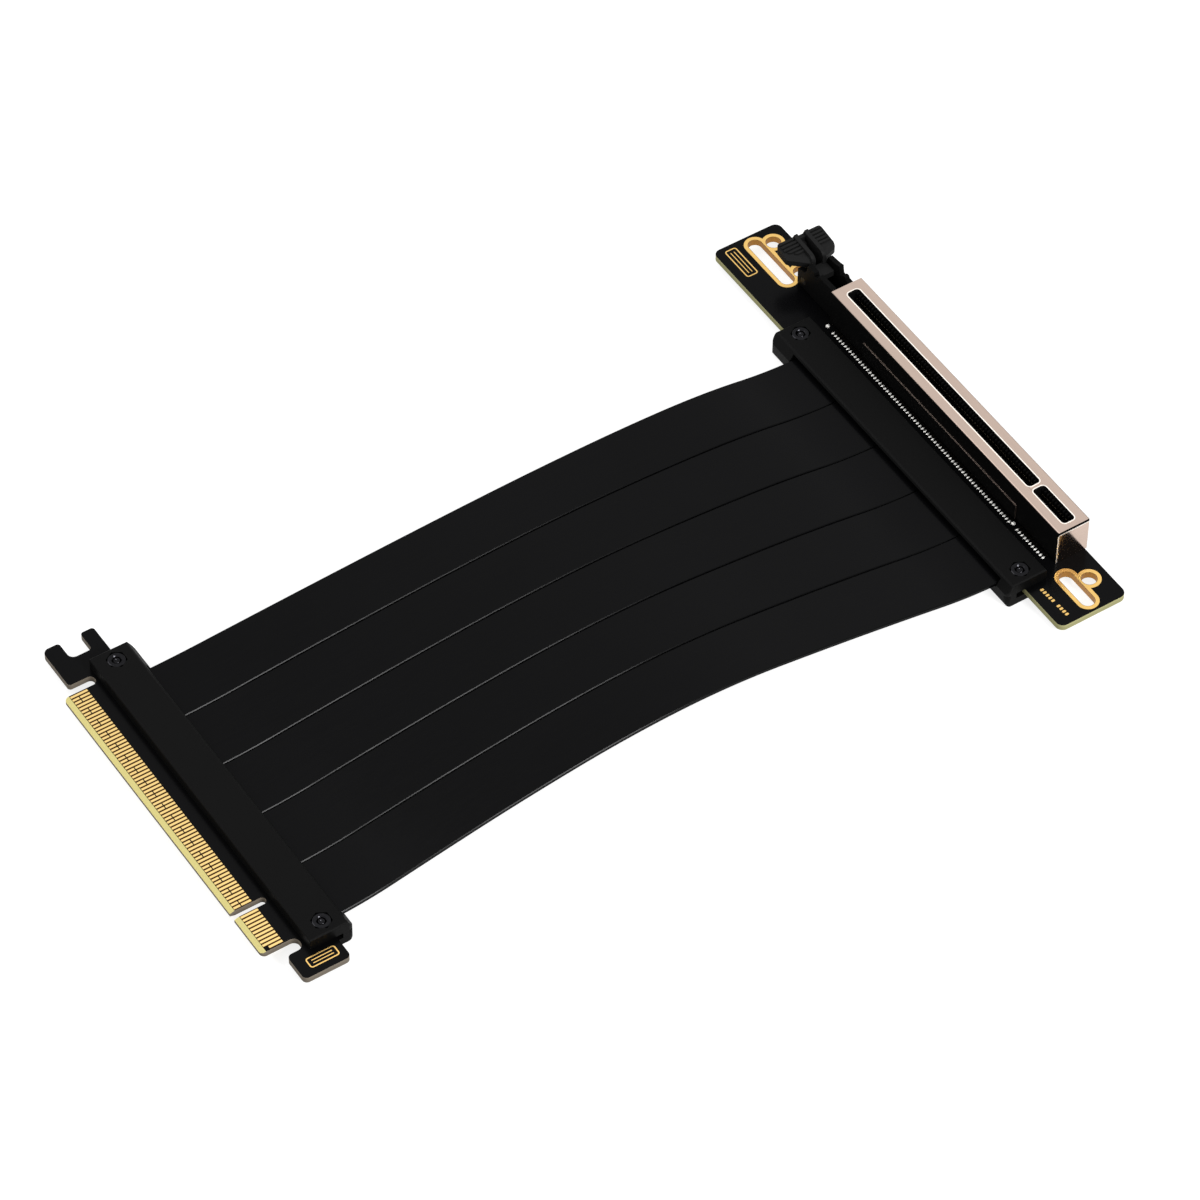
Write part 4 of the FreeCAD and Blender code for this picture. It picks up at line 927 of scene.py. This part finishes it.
class FillSlot(bpy.types.Operator):
    """Sets the comb of thin walls between the contacts of the card slot"""

    bl_idname = "extension_cable.slot_fill"
    bl_label = "Slot comb"

    def execute(self, context):
        floor, roof = BOARD_TOP + COMB_FLOOR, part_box("slot_housing")[1].z - COMB_DROP
        size = (CELL_HALF - SLOT_HALF + COMB_SEAT, sizes().comb_wall, roof - floor)
        walls = [y + PIN_PITCH / 2 for y in PIN_ROW]
        walls += [PIN_ROW[first] - PIN_PITCH / 2 for first in (0, PINS_BEFORE_KEY)]
        bm = bmesh.new()
        for y in walls:
            for side in (-1, 1):
                middle = (SLOT_X + side * (SLOT_HALF + CELL_HALF) / 2, y, (floor + roof) / 2)
                bmesh.ops.create_cube(bm, size=1.0, matrix=scaled(middle, size))
        comb = as_mesh(bm, "slot_comb")
        piece("slot_comb", comb, finish(slot_moulding, *SLOT_BODY))
        return {"FINISHED"}


class PaintShieldHighlights(bpy.types.Operator):
    """Paints highlights on the shield: round its windows, and over and beside its end plate"""

    bl_idname = "extension_cable.shield_edges"
    bl_label = "Shield edges"

    def execute(self, context):
        line, top = sizes().highlight_line, SHIELD_HIGH.z
        edges = []
        for near, far in WINDOWS:
            window = ((SLOT_X - WINDOW_HALF, SLOT_X + WINDOW_HALF), (near, far))
            outer = [(low - line, high + line) for low, high in window]
            # A ring of painted highlight round the window, on the shield's top
            ring = rounded_plate(*outer, (top - HIGHLIGHT_PROUD, top + HIGHLIGHT_PROUD),
                                 WINDOW_CORNER + line)
            hole = rounded_plate(*window, (top - MM, top + MM), WINDOW_CORNER)
            edges.append(combined("window_edge", ring, [("DIFFERENCE", hole)]))
        left, right = SLOT_X - SHIELD_HALF, SLOT_X + SHIELD_HALF
        front = (SHIELD_LOW.y - HIGHLIGHT_PROUD, SHIELD_LOW.y + HIGHLIGHT_PROUD)
        seam = top - SEAM_DEPTH
        # Strips of painted highlight down its left front edge and just under the seam
        edges.append(rounded_plate((left, left + SHIELD_SHEET), front, (BOARD_TOP, seam)))
        edges.append(rounded_plate((left, right), front, (seam - line, seam)))
        piece("shield_edges", merged("shield_edges", edges), finish(painted_edge_highlight))
        return {"FINISHED"}


class DrawLegends(bpy.types.Operator):
    """Prints plain gold frames, bars and blocks on the boards"""

    bl_idname = "extension_cable.legends"
    bl_label = "Board legends"

    def field(self, x_range, y_range, z, corner, inset=0.0, margin=0.0):
        """A flat printed field with round corners, drawn in by an inset."""
        inner = [(low + inset, high - inset) for low, high in (x_range, y_range)]
        return rounded_plate(*inner, (z - margin, z + PRINT_HEIGHT + margin), corner - inset)

    def framed(self, x_range, y_range, z):
        """A rounded frame: one field cut out of a larger one."""
        outer = self.field(x_range, y_range, z, LABEL_CORNER)
        inner = self.field(x_range, y_range, z, LABEL_CORNER, sizes().legend_line, MM)
        return combined("frame", outer, [("DIFFERENCE", inner)])

    def label(self, name, ranges, z, run):
        """A rounded frame with two plain bars along it, which run in X or Y: 0 or 1."""
        parts = [self.framed(*ranges, z)]
        wide, half = 1 - run, sizes().legend_bar / 2
        low, high = ranges[wide]
        for share in BAR_SHARES:
            middle = low + share * (high - low)
            bar = list(ranges)
            bar[wide] = (middle - half, middle + half)
            bar[run] = (ranges[run][0] + BAR_MARGIN, ranges[run][1] - BAR_MARGIN)
            parts.append(self.field(*bar, z, 0.0))
        piece(name, merged(name, parts), finish(gold_plating))

    def execute(self, context):
        self.label("plug_legend", PLUG_LABEL, PLUG_BOARD_TOP, 0)
        self.label("socket_legend", SOCKET_LABEL, BOARD_TOP, 1)
        blocks = []
        for step in BLOCKS:
            x, y = BLOCK_X - step * BLOCK_DRIFT, BLOCK_Y + step * BLOCK_STRIDE
            blocks.append(self.field((x - BLOCK_WIDTH / 2, x + BLOCK_WIDTH / 2),
                                     (y, y + BLOCK_LENGTH), BOARD_TOP, BLOCK_CORNER))
        piece("socket_print", merged("socket_print", blocks), finish(gold_plating))
        return {"FINISHED"}


class FinishSolids(bpy.types.Operator):
    """Gives the boards, covers, slot and latch their finishes and softened edges"""

    bl_idname = "extension_cable.finishes"
    bl_label = "Solid finishes"

    def execute(self, context):
        tint = colours()
        plug_finish = masked_board("plug_board_mask", tint.plug_laminate, tint.tip_laminate)
        dress(["plug_board"], plug_finish)
        dress(["socket_board"], masked_board("socket_board_mask", tint.laminate, tint.laminate))
        dress(["plug_contacts_top", "plug_contacts_bottom"], finish(finger_gold_painted_light))
        dress(COVERS, finish(moulded_cover))
        dress(["slot_housing"], finish(slot_moulding, *SLOT_BODY))
        dress(["slot_latch"], finish(slot_moulding, *LATCH_BODY))
        dress(["slot_contacts_inner", "slot_contacts_outer"], finish(contact_alloy))
        dress(["slot_shield"], finish(nickel_plating))
        for name, radius in EDGE_RADII.items():
            soften(name, radius)
        return {"FINISHED"}


class SetStage(bpy.types.Operator):
    """Sets the white floor, the soft lights and the camera"""

    bl_idname = "extension_cable.stage"
    bl_label = "Stage"

    def floor(self):
        """A wide flat card just under the part."""
        bm = bmesh.new()
        bmesh.ops.create_grid(bm, x_segments=1, y_segments=1, size=FLOOR_HALF,
                              matrix=Matrix.Translation((0, 0, FLOOR_Z)))
        mesh = as_mesh(bm, "floor")
        mesh.materials.append(finish(pale_floor))
        linked("floor", mesh)

    def room(self):
        """A world that is white to the lens and in reflections, and a dimmer light."""
        world = bpy.data.worlds.new("white_room")
        world.use_nodes = True
        tree = world.node_tree
        tree.nodes.clear()
        level = add_node(tree, "ShaderNodeMapRange",
                         {"Value": seen_directly(tree), "To Min": ROOM_FILL, "To Max": 1.0})
        sky = add_node(tree, "ShaderNodeBackground",
                       {"Color": WHITE, "Strength": level.outputs[0]})
        add_node(tree, "ShaderNodeOutputWorld", {"Surface": sky.outputs[0]})
        return world

    def softbox(self, name, place, size, energy):
        """A rectangular lamp that faces the middle of the part."""
        lamp = bpy.data.lights.new(name, "AREA")
        lamp.shape = "RECTANGLE"
        lamp.size, lamp.size_y = size
        lamp.energy = energy
        turn = (LAMP_AIM - Vector(place)).to_track_quat("-Z", "Y")
        linked(name, lamp).matrix_world = Matrix.Translation(place) @ turn.to_matrix().to_4x4()

    def camera(self):
        """The camera where the picture was taken, with its heading, tilt and roll."""
        camera = bpy.data.cameras.new("camera")
        camera.sensor_fit = "HORIZONTAL"
        camera.sensor_width = CAMERA_SENSOR
        camera.lens = CAMERA_LENS
        camera.clip_start = CAMERA_CLIP
        heading, tilt, roll = map(math.radians, (CAMERA_HEADING, CAMERA_TILT, CAMERA_ROLL))
        level = math.cos(tilt)
        ahead = Vector((math.sin(heading) * level, math.cos(heading) * level, -math.sin(tilt)))
        right = Vector((math.cos(heading), -math.sin(heading), 0))
        up = right.cross(ahead)
        across = right * math.cos(roll) + up * math.sin(roll)
        over = up * math.cos(roll) - right * math.sin(roll)
        turn = Matrix((across, over, -ahead)).transposed().to_4x4()
        obj = linked("camera", camera)
        obj.matrix_world = Matrix.Translation(CAMERA_PLACE) @ turn
        return obj

    def execute(self, context):
        scene = context.scene
        scene.view_settings.view_transform = "Standard"
        self.floor()
        scene.world = self.room()
        for lamp in SOFTBOXES:
            self.softbox(*lamp)
        scene.camera = self.camera()
        return {"FINISHED"}


STEPS = (
    LayRibbons, PlateRims, SolderFeet, FitFasteners, FillSlot, PaintShieldHighlights, DrawLegends,
    FinishSolids, SetStage,
)


class ExtensionCablePanel(bpy.types.Panel):
    """Lists the sizes, the colours and the steps"""

    bl_idname = "VIEW3D_PT_extension_cable"
    bl_label = "Extension cable"
    bl_space_type = "VIEW_3D"
    bl_region_type = "UI"
    bl_category = "Extension Cable"

    def draw(self, context):
        for group in (sizes(), colours()):
            box = self.layout.box()
            for name in group.__annotations__:
                box.prop(group, name)
        for step in STEPS:
            self.layout.operator(step.bl_idname)


CLASSES = (ExtensionCableSizes, ExtensionCableColours, *STEPS, ExtensionCablePanel)


def register():
    for cls in CLASSES:
        bpy.utils.register_class(cls)
    bpy.types.Scene.extension_cable_sizes = bpy.props.PointerProperty(type=ExtensionCableSizes)
    bpy.types.Scene.extension_cable_colours = bpy.props.PointerProperty(type=ExtensionCableColours)


def unregister():
    del bpy.types.Scene.extension_cable_colours
    del bpy.types.Scene.extension_cable_sizes
    for cls in reversed(CLASSES):
        bpy.utils.unregister_class(cls)


def main():
    register()
    for step in STEPS:
        group, name = step.bl_idname.split(".")
        getattr(getattr(bpy.ops, group), name)()
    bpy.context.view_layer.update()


if __name__ == "__main__":
    main()
